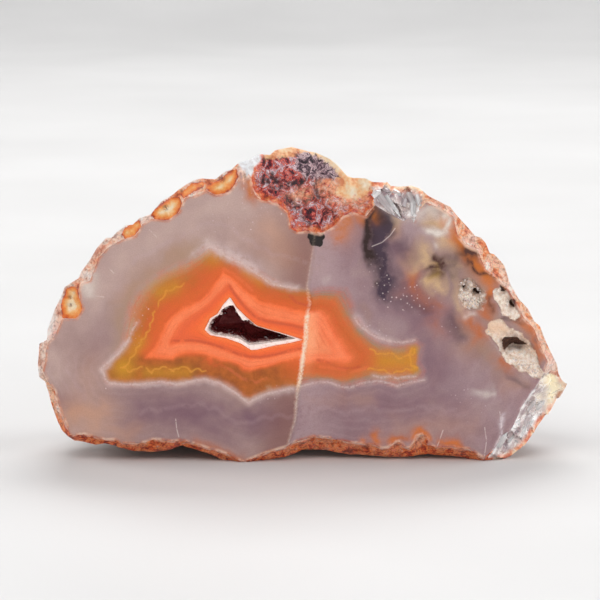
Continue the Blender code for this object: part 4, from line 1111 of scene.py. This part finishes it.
def cavity_quartz(m, colour):
    """The cavities' cream quartz over a colour, with painted shade in and round their openings, and its
    share.
    """
    grain = m.noise(0.32, 5, 0.75)
    cream = m.ramp(grain, [
        (0.3, 196, 162, 140), (0.40, 230, 204, 182), (0.5, 246, 228, 212), (0.7, 255, 250, 244)])
    cream = m.laid(cream, (238, 198, 166), "apricot", 0.9)
    cream = m.laid(cream, (78, 62, 54), "speckled", m.rise(m.noise(0.4, 4, 0.75), 0.44, 0.38), 0.8)
    # Painted shade round the cavities' openings
    hole_shade_colour = m.ramp(m.noise(0.5, 3), [(0.4, 124, 92, 74), (0.6, 190, 160, 144)])
    cream = m.laid(cream, hole_shade_colour, "hole_shade", m.rise(m.noise(0.6, 4), 0.3, 0.55), 0.75)
    margin = m.shifted("cream", m.noise(0.4, 4, 0.65), 0.8)
    rim = m.ramp(m.noise(1.3, 2), [(0.4, 128, 84, 62), (0.6, 206, 160, 132)])
    cream = m.laid(cream, rim, m.rise(margin, 1.0, 0.55), m.rise(m.noise(0.9, 3), 0.35, 0.55), 0.7)
    share = m.rise(margin, 0.25, 0.75)
    colour = m.laid(colour, cream, share)
    # The openings painted dark, as the shade inside the cavities
    opening = m.ramp(grain, [(0.4, 40, 20, 14), (0.7, 100, 58, 38)])
    return m.laid(colour, opening, m.rise("hole", 0.3, 0.8)), share


def polished_agate():
    """The cut and polished face: bands round the hollow, clear stone outside, and the marks over both."""
    m = Shades("polished_agate")
    colour = m.laid(band_colours(m), clear_stone(m), m.rise("fringe", -0.3, 0.5))
    outside = m.rise("fringe", -0.6, 0.3)
    colour = m.laid(colour, (136, 92, 84), "shade", outside, 0.7)
    colour = m.laid(colour, (255, 253, 252), m.rise("snow", 0.25, 0.7))
    colour = m.laid(colour, (180, 152, 154), "haze", outside, m.rise(m.noise(0.5, 4), 0.1, 0.6), 0.6)
    colour = m.laid(colour, (20, 12, 8), m.rise(m.shifted("ink", m.noise(0.4, 3), 0.35), 0.32, 0.52), 0.97)
    colour = m.laid(colour, (212, 188, 186), "frost", m.rise(m.noise(0.5, 4, 0.6), 0.15, 0.55), 0.85)
    broken = m.rise(m.noise(0.6, 3), 0.28, 0.5)
    colour = thin_lines(m, colour, broken)
    # Painted highlight spread right of the crack's step, beside the salmon band
    colour = m.laid(colour, (255, 172, 126), "side_highlight", m.rise(m.noise(1.0, 3), 0.1, 0.5), 0.85)
    # Painted highlight on the crack's step wall, where the step catches the light
    wall_grain = m.noise(0.35, 4, 0.65)
    wall_highlight = m.ramp(wall_grain, [(0.35, 252, 196, 152), (0.55, 255, 236, 212)])
    colour = m.laid(colour, wall_highlight, "wall", m.rise(wall_grain, 0.25, 0.5))
    colour, cream_share = cavity_quartz(m, colour)
    colour = m.laid(colour, (236, 218, 212), m.rise("scratch", 0.09, 0.0), broken, 0.5)
    colour = m.laid(colour, (236, 214, 208), m.rise("dust", 0.12, 0.02), 0.6)
    dots = m.product(m.rise(m.cells(0.42), 0.25, 0.1), m.rise(m.noise(0.5, 2), 0.42, 0.58))
    colour = m.laid(colour, (232, 206, 208), dots, "sparkle", 0.8)
    colour = m.laid(colour, (226, 214, 218), "glint", m.rise(m.noise(0.3, 3), 0.25, 0.5), 0.75)
    # Rind that shows through at the face's edge, but not beside the chips
    stained = m.ramp(m.noise(1.2, 3), [(0.38, 178, 84, 50), (0.5, 216, 136, 100), (0.62, 236, 196, 172)])
    colour = m.laid(colour, stained, m.rise("border", -0.35, -0.03), m.rise(m.noise(0.6, 3), 0.3, 0.55),
                    m.rise("chip", -0.1, -0.5), 0.75)
    fine = m.ramp(m.noise(0.12, 3), [(0.35, 120, 110, 108), (0.65, 255, 255, 255)])
    colour = m.blend(0.14, colour, fine, "MULTIPLY")
    unpolished = m.math("MAXIMUM", cream_share, m.rise("wall", 0.1, 0.7))
    roughness = m.shifted(m.math("ADD", m.product(unpolished, 0.45), 0.17), m.noise(2.2, 4), 0.14)
    relief = m.math("ADD", m.product(m.noise(0.15, 3), cream_share), m.product(m.noise(0.8, 3), 0.05))
    m.settings({"IOR": QUARTZ_IOR, "Specular IOR Level": 0.25, "Subsurface Weight": 0.12,
                "Subsurface Radius": (1.0, 0.45, 0.3), "Subsurface Scale": 0.8 * MM})
    return m.finish(colour, roughness, m.bump(relief, 0.12))


def back_rind(m):
    """The rind of the back, which is more evenly weathered."""
    colour = m.ramp(m.shifted(m.noise(4.5, 5, 0.6), m.noise(0.9, 4, 0.65), 0.35), [
        (0.30, 104, 46, 36), (0.40, 170, 82, 52), (0.50, 206, 130, 92), (0.58, 226, 172, 140),
        (0.66, 190, 118, 92), (0.76, 240, 220, 202)])
    # Darker in the low places of the relief
    dark = m.ramp(m.noise(0.5, 4), [(0.35, 58, 26, 24), (0.65, 138, 62, 42)])
    colour = m.laid(colour, dark, m.rise(m.shifted("relief", m.noise(0.8, 4), 0.5), 0.05, -0.45), 0.75)
    specks = m.product(m.rise(m.noise(0.3, 3, 0.7), 0.6, 0.68), m.rise(m.noise(3.0, 2), 0.4, 0.6))
    return m.laid(colour, (66, 36, 36), specks, 0.8)


def matrix_patch(m):
    """The patch at the top: a mosaic of dark, red and pale grains with an orange rim."""
    colour = m.ramp(m.shifted(m.noise(0.85, 5, 0.68, 1.0), m.noise(2.2, 2), 0.25), [
        (0.36, 22, 8, 24), (0.42, 84, 18, 42), (0.455, 168, 34, 44), (0.485, 232, 92, 70),
        (0.505, 250, 150, 130), (0.53, 84, 26, 54), (0.56, 222, 172, 188), (0.59, 255, 244, 244),
        (0.62, 156, 70, 88), (0.65, 240, 130, 120), (0.72, 252, 180, 150)])
    blush = m.ramp(m.noise(0.5, 5, 0.65), [
        (0.34, 244, 120, 78), (0.46, 254, 166, 122), (0.58, 255, 196, 162), (0.68, 255, 222, 200)])
    colour = m.laid(colour, blush, "blush", m.rise(m.noise(0.5, 3), 0.25, 0.5), 0.85)
    colour = m.laid(colour, (34, 16, 26), "soot", m.rise(m.noise(0.45, 4, 0.7), 0.40, 0.56), 0.95)
    rim = m.ramp(m.noise(0.5, 4, 0.7), [(0.38, 198, 56, 28), (0.52, 240, 112, 50), (0.65, 252, 176, 112)])
    return m.laid(colour, rim, m.rise(m.shifted("patch", m.noise(0.7, 3), 0.9), 0.7, 0.2), 0.8)


def orb_colours(m):
    """The colours of the small orbs in the rim, from their edges to their middles."""
    return m.ramp(m.shifted(m.shifted("orb", m.noise(0.9, 2), 0.9), m.noise(0.25, 3), 0.35), [
        (0.05, 176, 64, 34), (0.15, 230, 108, 46), (0.36, 248, 146, 68), (0.55, 252, 176, 98),
        (0.75, 254, 206, 146), (1.0, 255, 234, 202)])


def natural_rind():
    """The rough outside: brick, orange and peach grains, the dark matrix patch and the small orbs."""
    m = Shades("natural_rind")
    grain = m.shifted(m.noise(1.5, 3, 0.5), m.noise(0.35, 4, 0.6), 0.4)
    colour = m.ramp(grain, [
        (0.24, 150, 56, 36), (0.35, 226, 108, 58), (0.44, 248, 160, 106), (0.52, 252, 212, 180),
        (0.60, 246, 170, 142), (0.70, 255, 238, 224)])
    brick = m.ramp(m.shifted(m.noise(0.75, 4, 0.65), m.noise(0.28, 4, 0.6), 0.45), [
        (0.3, 84, 22, 22), (0.40, 178, 48, 28), (0.48, 236, 100, 46), (0.57, 250, 154, 84),
        (0.64, 214, 84, 60), (0.74, 252, 214, 176)])
    colour = m.laid(colour, brick, "brick_rind", 0.9)
    pale = m.ramp(grain, [(0.3, 214, 158, 134), (0.45, 244, 212, 196), (0.65, 254, 248, 242)])
    colour = m.laid(colour, pale, "pale_rind")
    colour = m.laid(colour, back_rind(m), m.rise("border", 1.8, 3.0), 0.9)
    # Painted shade: darker crevices multiplied over the rind
    crevice_shade = m.ramp(m.rise(m.noise(0.45, 5, 0.7), 0.34, 0.52), [(0.0, 150, 84, 70), (1.0, 255, 255, 255)])
    colour = m.blend(0.6, colour, crevice_shade, "MULTIPLY")
    # A thin pale line right at the face's edge, painted as the highlight on its small bevel
    colour = m.laid(colour, (246, 214, 198), m.rise("border", 0.3, 0.05), m.rise(m.noise(0.8, 3), 0.42, 0.6),
                    0.7)
    in_patch = m.rise("patch", -0.05, 0.1)
    colour = m.laid(colour, matrix_patch(m), in_patch)
    cap = m.ramp(grain, [
        (0.30, 226, 138, 88), (0.42, 255, 196, 140), (0.54, 255, 222, 176), (0.68, 255, 240, 214)])
    in_cap = m.rise(m.shifted("cap", m.noise(1.0, 4), 1.6), -0.1, 0.3)
    colour = m.laid(colour, cap, in_cap, 0.9)
    dark_cap = m.ramp(m.noise(0.6, 5, 0.68, 0.9), [
        (0.40, 28, 12, 26), (0.47, 92, 58, 74), (0.53, 172, 138, 146), (0.57, 244, 216, 216),
        (0.61, 128, 86, 98), (0.68, 208, 172, 172)])
    colour = m.laid(colour, dark_cap, m.rise(m.shifted("dark_cap", m.noise(0.5, 4), 1.2), -0.1, 0.25))
    in_orb = m.rise("orb", 0.02, 0.12)
    colour = m.laid(colour, orb_colours(m), in_orb)
    colour = m.laid(colour, (120, 58, 38), "pit", m.rise(m.noise(0.2, 2), 0.35, 0.55), 0.8)
    # Painted shade along the creases between grains, left off the orbs and the cap
    creases = m.ramp(m.rise(m.cells(0.8, "DISTANCE_TO_EDGE"), 0.0, 0.09),
                     [(0.0, 92, 50, 44), (1.0, 255, 255, 255)])
    elsewhere = m.math("SUBTRACT", 1.0, m.math("MAXIMUM", in_orb, in_cap))
    colour = m.blend(m.product(elsewhere, 0.25), colour, creases, "MULTIPLY")
    snow = m.ramp(m.noise(0.4, 3), [(0.3, 222, 214, 214), (0.55, 252, 252, 254)])
    colour = m.laid(colour, snow, m.rise("snow", 0.2, 0.6))
    dull = m.math("SUBTRACT", m.math("SUBTRACT", 0.74, m.product(in_orb, 0.5)), m.product(in_patch, 0.34))
    normal = m.bump(m.noise(0.1, 3, 0.6), 0.07, m.bump(m.noise(0.35, 5, 0.7), 0.3))
    return m.finish(colour, m.shifted(dull, m.noise(0.5, 3), 0.2), normal)


def broken_face():
    """Fresh breaks through the clear stone: glassy facets, milky in places, with rind along the outside."""
    m = Shades("broken_face")
    colour = m.ramp(m.noise(1.2, 4, 0.55), [
        (0.34, 146, 124, 130), (0.45, 184, 164, 164), (0.56, 206, 190, 186), (0.66, 248, 242, 240)])
    colour = m.laid(colour, (255, 240, 206), "honey", 0.9)
    colour = m.laid(colour, (255, 253, 252), "glint", 0.85)
    veins = m.rise(m.cells(0.9, "DISTANCE_TO_EDGE"), 0.07, 0.0)
    colour = m.laid(colour, (252, 248, 246), veins, m.rise(m.noise(0.8, 2), 0.4, 0.6), 0.8)
    outer = m.rise(m.shifted("outer_edge", m.noise(0.8, 3), 1.2), 0.8, 0.2)
    outer = m.product(outer, m.math("SUBTRACT", 1.0, "honey"))
    rind = m.ramp(m.noise(0.8, 3), [(0.36, 206, 92, 50), (0.5, 240, 158, 112), (0.62, 250, 216, 178)])
    colour = m.laid(colour, rind, outer, 0.85)
    m.settings({"IOR": QUARTZ_IOR, "Subsurface Weight": 0.2, "Subsurface Radius": (1.0, 0.8, 0.7),
                "Subsurface Scale": 0.6 * MM})
    roughness = m.shifted(m.math("ADD", m.product(outer, 0.4), 0.1), m.noise(0.6, 2), 0.08)
    return m.finish(colour, roughness, m.bump(m.noise(0.25, 2), 0.015))


def crust_quartz():
    """The lining of the hollow: pale at the lip and dark red further in, the dark partly painted shade."""
    m = Shades("crust_quartz")
    grain = m.noise(0.3, 4, 0.65)
    pale = m.ramp(grain, [(0.3, 236, 190, 176), (0.48, 255, 238, 230)])
    deep = m.ramp(grain, [(0.4, 112, 28, 32), (0.7, 150, 62, 60)])
    # Dark red further in: the crust's own red, painted darker with depth as the shade inside the hollow
    colour = m.laid(pale, deep, m.rise(m.shifted("inward", m.noise(0.5, 3), 0.5), 0.8, 1.9))
    return m.finish(colour, m.shifted(0.35, m.noise(0.4, 3), 0.2), m.bump(m.noise(0.18, 3), 0.08))


def splinter_quartz():
    """Splinters of clear quartz, some a little whiter than others, as painted glints on their facets."""
    m = Shades("splinter_quartz")
    # Whiter by the value each solid carries: painted glints
    colour = m.ramp(m.shifted("inward", m.noise(0.5, 2), 0.2), [
        (0.2, 214, 202, 206), (0.45, 236, 228, 228), (0.6, 252, 250, 249), (0.8, 255, 255, 255)])
    m.settings({"IOR": QUARTZ_IOR, "Transmission Weight": 0.6})
    return m.finish(colour, m.shifted(0.07, m.noise(0.4, 2), 0.06), m.bump(m.noise(0.15, 2), 0.01))


def clear_quartz(name, deep, clearness):
    """Small crystals, which show what is behind them as far as they are clear."""
    m = Shades(name)
    pale = m.ramp(m.noise(0.4, 3), [(0.35, 240, 216, 208), (0.65, 255, 248, 244)])
    # Crystals further in take the deep colour, as painted shade deep in the hollow
    colour = m.laid(pale, deep, m.rise("inward", 0.6, 1.6))
    m.settings({"IOR": QUARTZ_IOR, "Transmission Weight": clearness})
    return m.finish(colour, m.shifted(0.14, m.noise(0.3, 3), 0.12), m.bump(m.noise(0.2, 2), 0.01))


def new_piece(name, points, faces, materials, attributes=(), zones=None, smooth=False):
    """A mesh from points in millimetres, with float attributes and a material for each face."""
    mesh = bpy.data.meshes.new(name)
    mesh.from_pydata([tuple(point * MM) for point in points], [], faces)
    for key, values in dict(attributes).items():
        layer = mesh.attributes.new(key, "FLOAT", "POINT")
        layer.data.foreach_set("value", np.asarray(values, np.float32))
    for material in materials:
        mesh.materials.append(material)
    if zones is not None:
        mesh.polygons.foreach_set("material_index", np.asarray(zones, np.int32))
    mesh.polygons.foreach_set("use_smooth", np.broadcast_to(smooth, len(faces)).tolist())
    mesh.update()
    mesh.validate()
    obj = bpy.data.objects.new(name, mesh)
    bpy.context.scene.collection.objects.link(obj)
    return obj


def stone_piece():
    """The stone in fine detail. Its front and its back share the points of the rim."""
    spots, depth, triangles, rim, edge = front_sheet()
    front = on_stone(spots, depth)
    within = spread_points(rim, BACK_SPACING, BACK_SPACING * 0.6)
    _, back_triangles = triangulated([rim, within], ring_sides(len(rim)))
    count = len(rim)
    first = len(front) - count
    faces = [face[::-1] for face in triangles]
    faces += [[k if k < count else first + k for k in face] for face in back_triangles]
    back, relief = dome_points(within, rim, depth[:count])
    points = stand_on_feet(np.concatenate([front, back]))
    behind = {"border": 3.0, "band": FACE_END, "patch": -FAR, "cap": -FAR, "dark_cap": -FAR, "chip": -FAR}
    marks = {key: np.concatenate([values, np.full(len(within), behind.get(key, 0.0))])
             for key, values in face_marks(spots).items()}
    marks["relief"] = np.concatenate([np.zeros(len(spots)), relief])
    middles = np.array([spots[face].mean(0) for face in triangles])
    rough = ~inside_ring(middles, edge)
    broken = rough & (inside_ring(middles, UPPER_CHIP) | inside_ring(middles, LOWER_CHIP))
    zones = np.concatenate([rough.astype(int) + broken, np.ones(len(back_triangles), int)])
    stone = new_piece("agate_stone", points, faces, [polished_agate(), natural_rind(), broken_face()],
                      marks, zones, zones != 2)
    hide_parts("agate")
    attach(stone, "root")


def mouth_rays(count):
    """The ways from the hollow's middle to points of its mouth, and their directions."""
    mouth = closed_ring(HOLLOW_MOUTH, count) - HOLLOW_CENTRE
    return mouth, np.arctan2(mouth[:, 1], mouth[:, 0])


def inner_share(angles, depth):
    """How far the crust's inner wall is from the hollow's middle at this depth, as a share of the mouth."""
    return np.interp(np.degrees(angles), *zip(*CRUST_OPENING)) + np.interp(depth, *zip(*CRUST_NARROWING))


def crust_piece():
    """The lining of the hollow, in finer steps than the solid."""
    count = CRUST_STEPS
    mouth, angles = mouth_rays(count)
    rings = [np.column_stack([HOLLOW_CENTRE + mouth * share, np.full(count, depth)])
             for share, depth in CRUST_BACK]
    for depth in np.linspace(CRUST_NARROWING[0][0], CRUST_NARROWING[-1][0], CRUST_RINGS):
        share = inner_share(angles, depth)
        places = np.column_stack([HOLLOW_CENTRE + mouth * share[:, None], np.full(count, depth)])
        uneven = lumps(places, 0.35, 11) + 0.6 * lumps(places, 0.16, 12)
        share = share + uneven * 0.03 * smooth_rise(depth / 0.5)
        deep = depth + 0.05 * uneven * (depth < 0.3)
        rings.append(np.column_stack([HOLLOW_CENTRE + mouth * share[:, None], deep]))
    points = np.concatenate(rings + [[(*HOLLOW_CENTRE, depth)] for depth in CRUST_POLES])
    outer_pole = len(rings) * count
    last = outer_pole - count
    faces = [[ring + k, ring + after, ring + count + after, ring + count + k]
             for ring in range(0, last, count) for k, after in ring_sides(count)]
    faces += [[outer_pole, after, k] for k, after in ring_sides(count)]
    faces += [[outer_pole + 1, last + k, last + after] for k, after in ring_sides(count)]
    crust = new_piece("hollow_crust", on_stone(points[:, :2], points[:, 2]), faces, [crust_quartz()],
                      {"inward": points[:, 2]})
    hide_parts("druse_crust")
    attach(crust, "root")


def crystal(base, axis, radius, length, turn):
    """The points and faces of one six-sided crystal with a pointed end, standing at base along axis."""
    axis = Vector(axis).normalized()
    side = axis.orthogonal().normalized()
    other = axis.cross(side)
    points = []
    for along, width in ((-0.35, 1.0), (0.55, 0.92)):
        for k in range(6):
            angle = turn + k * math.pi / 3
            points.append(Vector(base) + axis * length * along
                          + (side * math.cos(angle) + other * math.sin(angle)) * radius * width)
    points.append(Vector(base) + axis * length)
    faces = [[k, after, 6 + after, 6 + k] for k, after in ring_sides(6)]
    faces += [[6 + k, 6 + after, 12] for k, after in ring_sides(6)]
    return points, faces + [[5, 4, 3, 2, 1, 0]]


def shard(middle, axis, size, chance):
    """The points and faces of a broken piece of clear quartz, an uneven eight-sided solid."""
    axis = Vector(axis).normalized()
    side = (Vector((chance.uniform(0.1, 1), 0, chance.uniform(0.3, 1))).cross(axis)).normalized()
    other = axis.cross(side)
    points = []
    for direction in (side, other, -side, -other):
        stretch = 1.0 if direction in (side, -side) else 0.45
        points.append(Vector(middle) + direction * size * stretch * chance.uniform(0.6, 1.0)
                      + axis * size * chance.uniform(-0.15, 0.15))
    points.append(Vector(middle) + axis * size * chance.uniform(0.25, 0.45))
    points.append(Vector(middle) - axis * size * 0.4)
    faces = [[k, after, 4] for k, after in ring_sides(4)]
    return points, faces + [[after, k, 5] for k, after in ring_sides(4)]


def gathered(solids):
    """One mesh's points, faces and attributes from many small solids, each with a value of its own."""
    points, faces, inward = [], [], []
    for solid_points, solid_faces, depth in solids:
        first = len(points)
        points += [np.array(point) for point in solid_points]
        faces += [[first + k for k in face] for face in solid_faces]
        inward += [depth] * len(solid_points)
    return np.array(points), faces, {"inward": inward}


def hollow_crystals():
    """Quartz points that stand on the crust and lean towards the hollow's middle."""
    chance = random.Random(7)
    mouth, angles = mouth_rays(MOUTH_DIRECTIONS)
    solids = []
    for _ in range(HOLLOW_CRYSTALS):
        k = chance.randrange(MOUTH_DIRECTIONS)
        depth = chance.uniform(0.6, 3.6)
        share = inner_share(angles[k:k + 1], depth)[0] + 0.01
        base = on_stone(np.array([HOLLOW_CENTRE + mouth[k] * share]), np.array([depth]))[0]
        inwards = Vector((-mouth[k][0], -0.6, mouth[k][1])).normalized()
        lean = Vector((chance.uniform(-1, 1), chance.uniform(-1, 1), chance.uniform(-1, 1))) * 0.5
        radius = chance.uniform(0.07, 0.17)
        length = radius * chance.uniform(1.6, 2.8)
        points, faces = crystal(base, inwards + lean, radius, length, chance.uniform(0, 3))
        solids.append((points, faces, depth))
    return gathered(solids)


def chance_spot(ring, chance):
    """A random spot in the box round an outline."""
    low, high = np.min(ring, axis=0), np.max(ring, axis=0)
    return chance.uniform(low[0], high[0]), chance.uniform(low[1], high[1])


def cavity_crystals(edge, mouth):
    """Small pale crystals on the cream quartz round the little cavities."""
    chance = random.Random(11)
    spots = []
    while len(spots) < CAVITY_CRYSTALS:
        spots.append(chance_spot(chance.choice([CREAM_ZONES[0], CREAM_ZONES[2], CREAM_ZONES[2]]), chance))
    spots = np.array(spots)
    inner = np.max([depth_inside(spots, ring) for ring in CREAM_ZONES], axis=0) > 0.08
    inner &= (spots[:, 0] < GRANULAR_LEFT) | (spots.sum(1) > GRANULAR_SUM + 0.5)
    inner &= np.min([cavity_share(spots, cavity) for cavity in CAVITIES], axis=0) > 0.8
    spots = spots[inner]
    solids = []
    for base in on_stone(spots, face_depth(spots, edge, mouth) + 0.05):
        lean = (chance.uniform(-0.7, 0.7), -1.0, chance.uniform(-0.7, 0.7))
        radius = chance.uniform(0.06, 0.15)
        points, faces = crystal(base, lean, radius, radius * chance.uniform(1.0, 1.9), chance.uniform(0, 3))
        solids.append((points, faces, 0.0))
    return gathered(solids)


def lying_crystal(start, end, radius, edge, mouth):
    """A crystal that lies on the broken rim between two spots of the sheet, its far end a little proud."""
    ends = np.array([start, end])
    low, high = on_stone(ends, face_depth(ends, edge, mouth) - (0.0, 0.25))
    return crystal(low + (high - low) * 0.26, high - low, radius, np.linalg.norm(high - low) / 1.35, start[0])


def broken_chips(edge, mouth):
    """Clear crystals and splinters where the rim is broken away."""
    chance = random.Random(5)
    solids = []
    # Each crystal's and splinter's whiteness is a painted glint of the light on its facets
    for u0, v0, u1, v1, radius, tone in CHIP_CRYSTALS:
        points, faces = lying_crystal((u0, v0), (u1, v1), radius, edge, mouth)
        solids.append((points, faces, tone))
    for ring, count in ((UPPER_CHIP, 25), (LOWER_CHIP, 35)):
        spots = np.array([chance_spot(ring, chance) for _ in range(count)])
        spots = spots[(depth_inside(spots, ring) > 0.1) & (depth_inside(spots, SILHOUETTE) > 0.7)
                      & (depth_inside(spots, edge) < -0.15)]
        for base in on_stone(spots, face_depth(spots, edge, mouth) + 0.02):
            lean = (chance.uniform(-0.9, 0.9), -1.0, chance.uniform(-0.5, 0.9))
            points, faces = shard(base, lean, chance.uniform(0.2, 0.45), chance)
            solids.append((points, faces, chance.random()))
    return gathered(solids)


def crystal_pieces():
    """The three pieces that hold the crystals of the hollow, the cavities and the chips."""
    edge, mouth = face_outlines()
    for name, slot, (points, faces, attributes), material in (
            ("hollow_crystals", "druse", hollow_crystals(),
             clear_quartz("hollow_crystals", (128, 44, 48), 0.6)),
            ("cavity_crystals", "druse", cavity_crystals(edge, mouth),
             clear_quartz("cavity_crystals", (200, 180, 170), 0.35)),
            ("broken_quartz", "agate", broken_chips(edge, mouth), splinter_quartz())):
        piece = new_piece(name, points, faces, [material], attributes)
        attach(piece, "root")


def floor():
    """A plain pale floor that curves up behind."""
    m = Shades("pale_floor")
    colour = m.ramp(m.noise(60.0, 2), [(0.3, 206, 205, 204), (0.7, 214, 213, 212)])
    m.finish(colour, m.shifted(0.6, m.noise(8.0, 2), 0.05))
    front, bend, radius, top, half_width = -0.9, 0.5, 0.3, 1.4, 1.5
    turns = [math.radians(turn) for turn in range(10, 91, 10)]
    profile = [(front, 0.0), (bend, 0.0)]
    profile += [(bend + radius * math.sin(turn), radius - radius * math.cos(turn)) for turn in turns]
    profile.append((bend + radius, top))
    points = [np.array([x, y, z]) / MM for y, z in profile for x in (-half_width, half_width)]
    faces = [[2 * k, 2 * k + 1, 2 * k + 3, 2 * k + 2] for k in range(len(profile) - 1)]
    new_piece("studio_floor", points, faces, [m.material], smooth=True)


def soft_light(name, place, aim, size, power):
    """A broad white light, turned to its aim."""
    light = bpy.data.lights.new(name, "AREA")
    light.shape = "RECTANGLE"
    light.size, light.size_y = size
    light.energy = power
    obj = bpy.data.objects.new(name, light)
    obj.location = place
    obj.rotation_euler = (Vector(aim) - Vector(place)).to_track_quat("-Z", "Y").to_euler()
    bpy.context.scene.collection.objects.link(obj)


def studio():
    """Broad soft lights from above, in front and behind, and an even pale surround.

    The lights' places and sizes are in metres and their power in watts."""
    for name, place, size, power in (
            ("key_light", (-0.22, -0.42, 0.55), (0.45, 0.45), 2.0),
            ("fill_light", (0.45, -0.40, 0.25), (0.4, 0.4), 1.25),
            ("low_light", (0.0, -0.55, 0.06), (0.6, 0.1), 0.6),
            ("left_light", (-0.55, 0.12, 0.30), (0.3, 0.3), 1.7),
            ("right_light", (0.55, 0.12, 0.30), (0.3, 0.3), 1.7),
            ("back_light", (0.05, 0.40, 0.50), (0.5, 0.3), 2.6)):
        soft_light(name, place, (0.0, 0.0, 0.015), size, power)
    world = bpy.data.worlds.new("surround")
    world.use_nodes = True
    background = world.node_tree.nodes["Background"]
    background.inputs["Color"].default_value = (0.92, 0.94, 1.0, 1.0)
    background.inputs["Strength"].default_value = 0.2
    bpy.context.scene.world = world
    bpy.context.scene.view_settings.view_transform = "Standard"


def camera():
    """Straight in front of the polished face and a little above it, aimed at the sheet's middle."""
    aim = Vector(on_stone(np.array([CAMERA_AIM]), np.zeros(1))[0] * MM)
    elevation = math.radians(CAMERA_ELEVATION)
    data = bpy.data.cameras.new("camera")
    data.sensor_width = 36.0
    data.lens = 210.0
    data.clip_start = 0.01
    obj = bpy.data.objects.new("camera", data)
    obj.location = aim + Vector((0.0, -math.cos(elevation), math.sin(elevation))) * CAMERA_DISTANCE
    obj.rotation_euler = (aim - obj.location).to_track_quat("-Z", "Y").to_euler()
    bpy.context.scene.collection.objects.link(obj)
    bpy.context.scene.camera = obj


stone_piece()
crust_piece()
crystal_pieces()
floor()
studio()
camera()
bpy.context.view_layer.update()
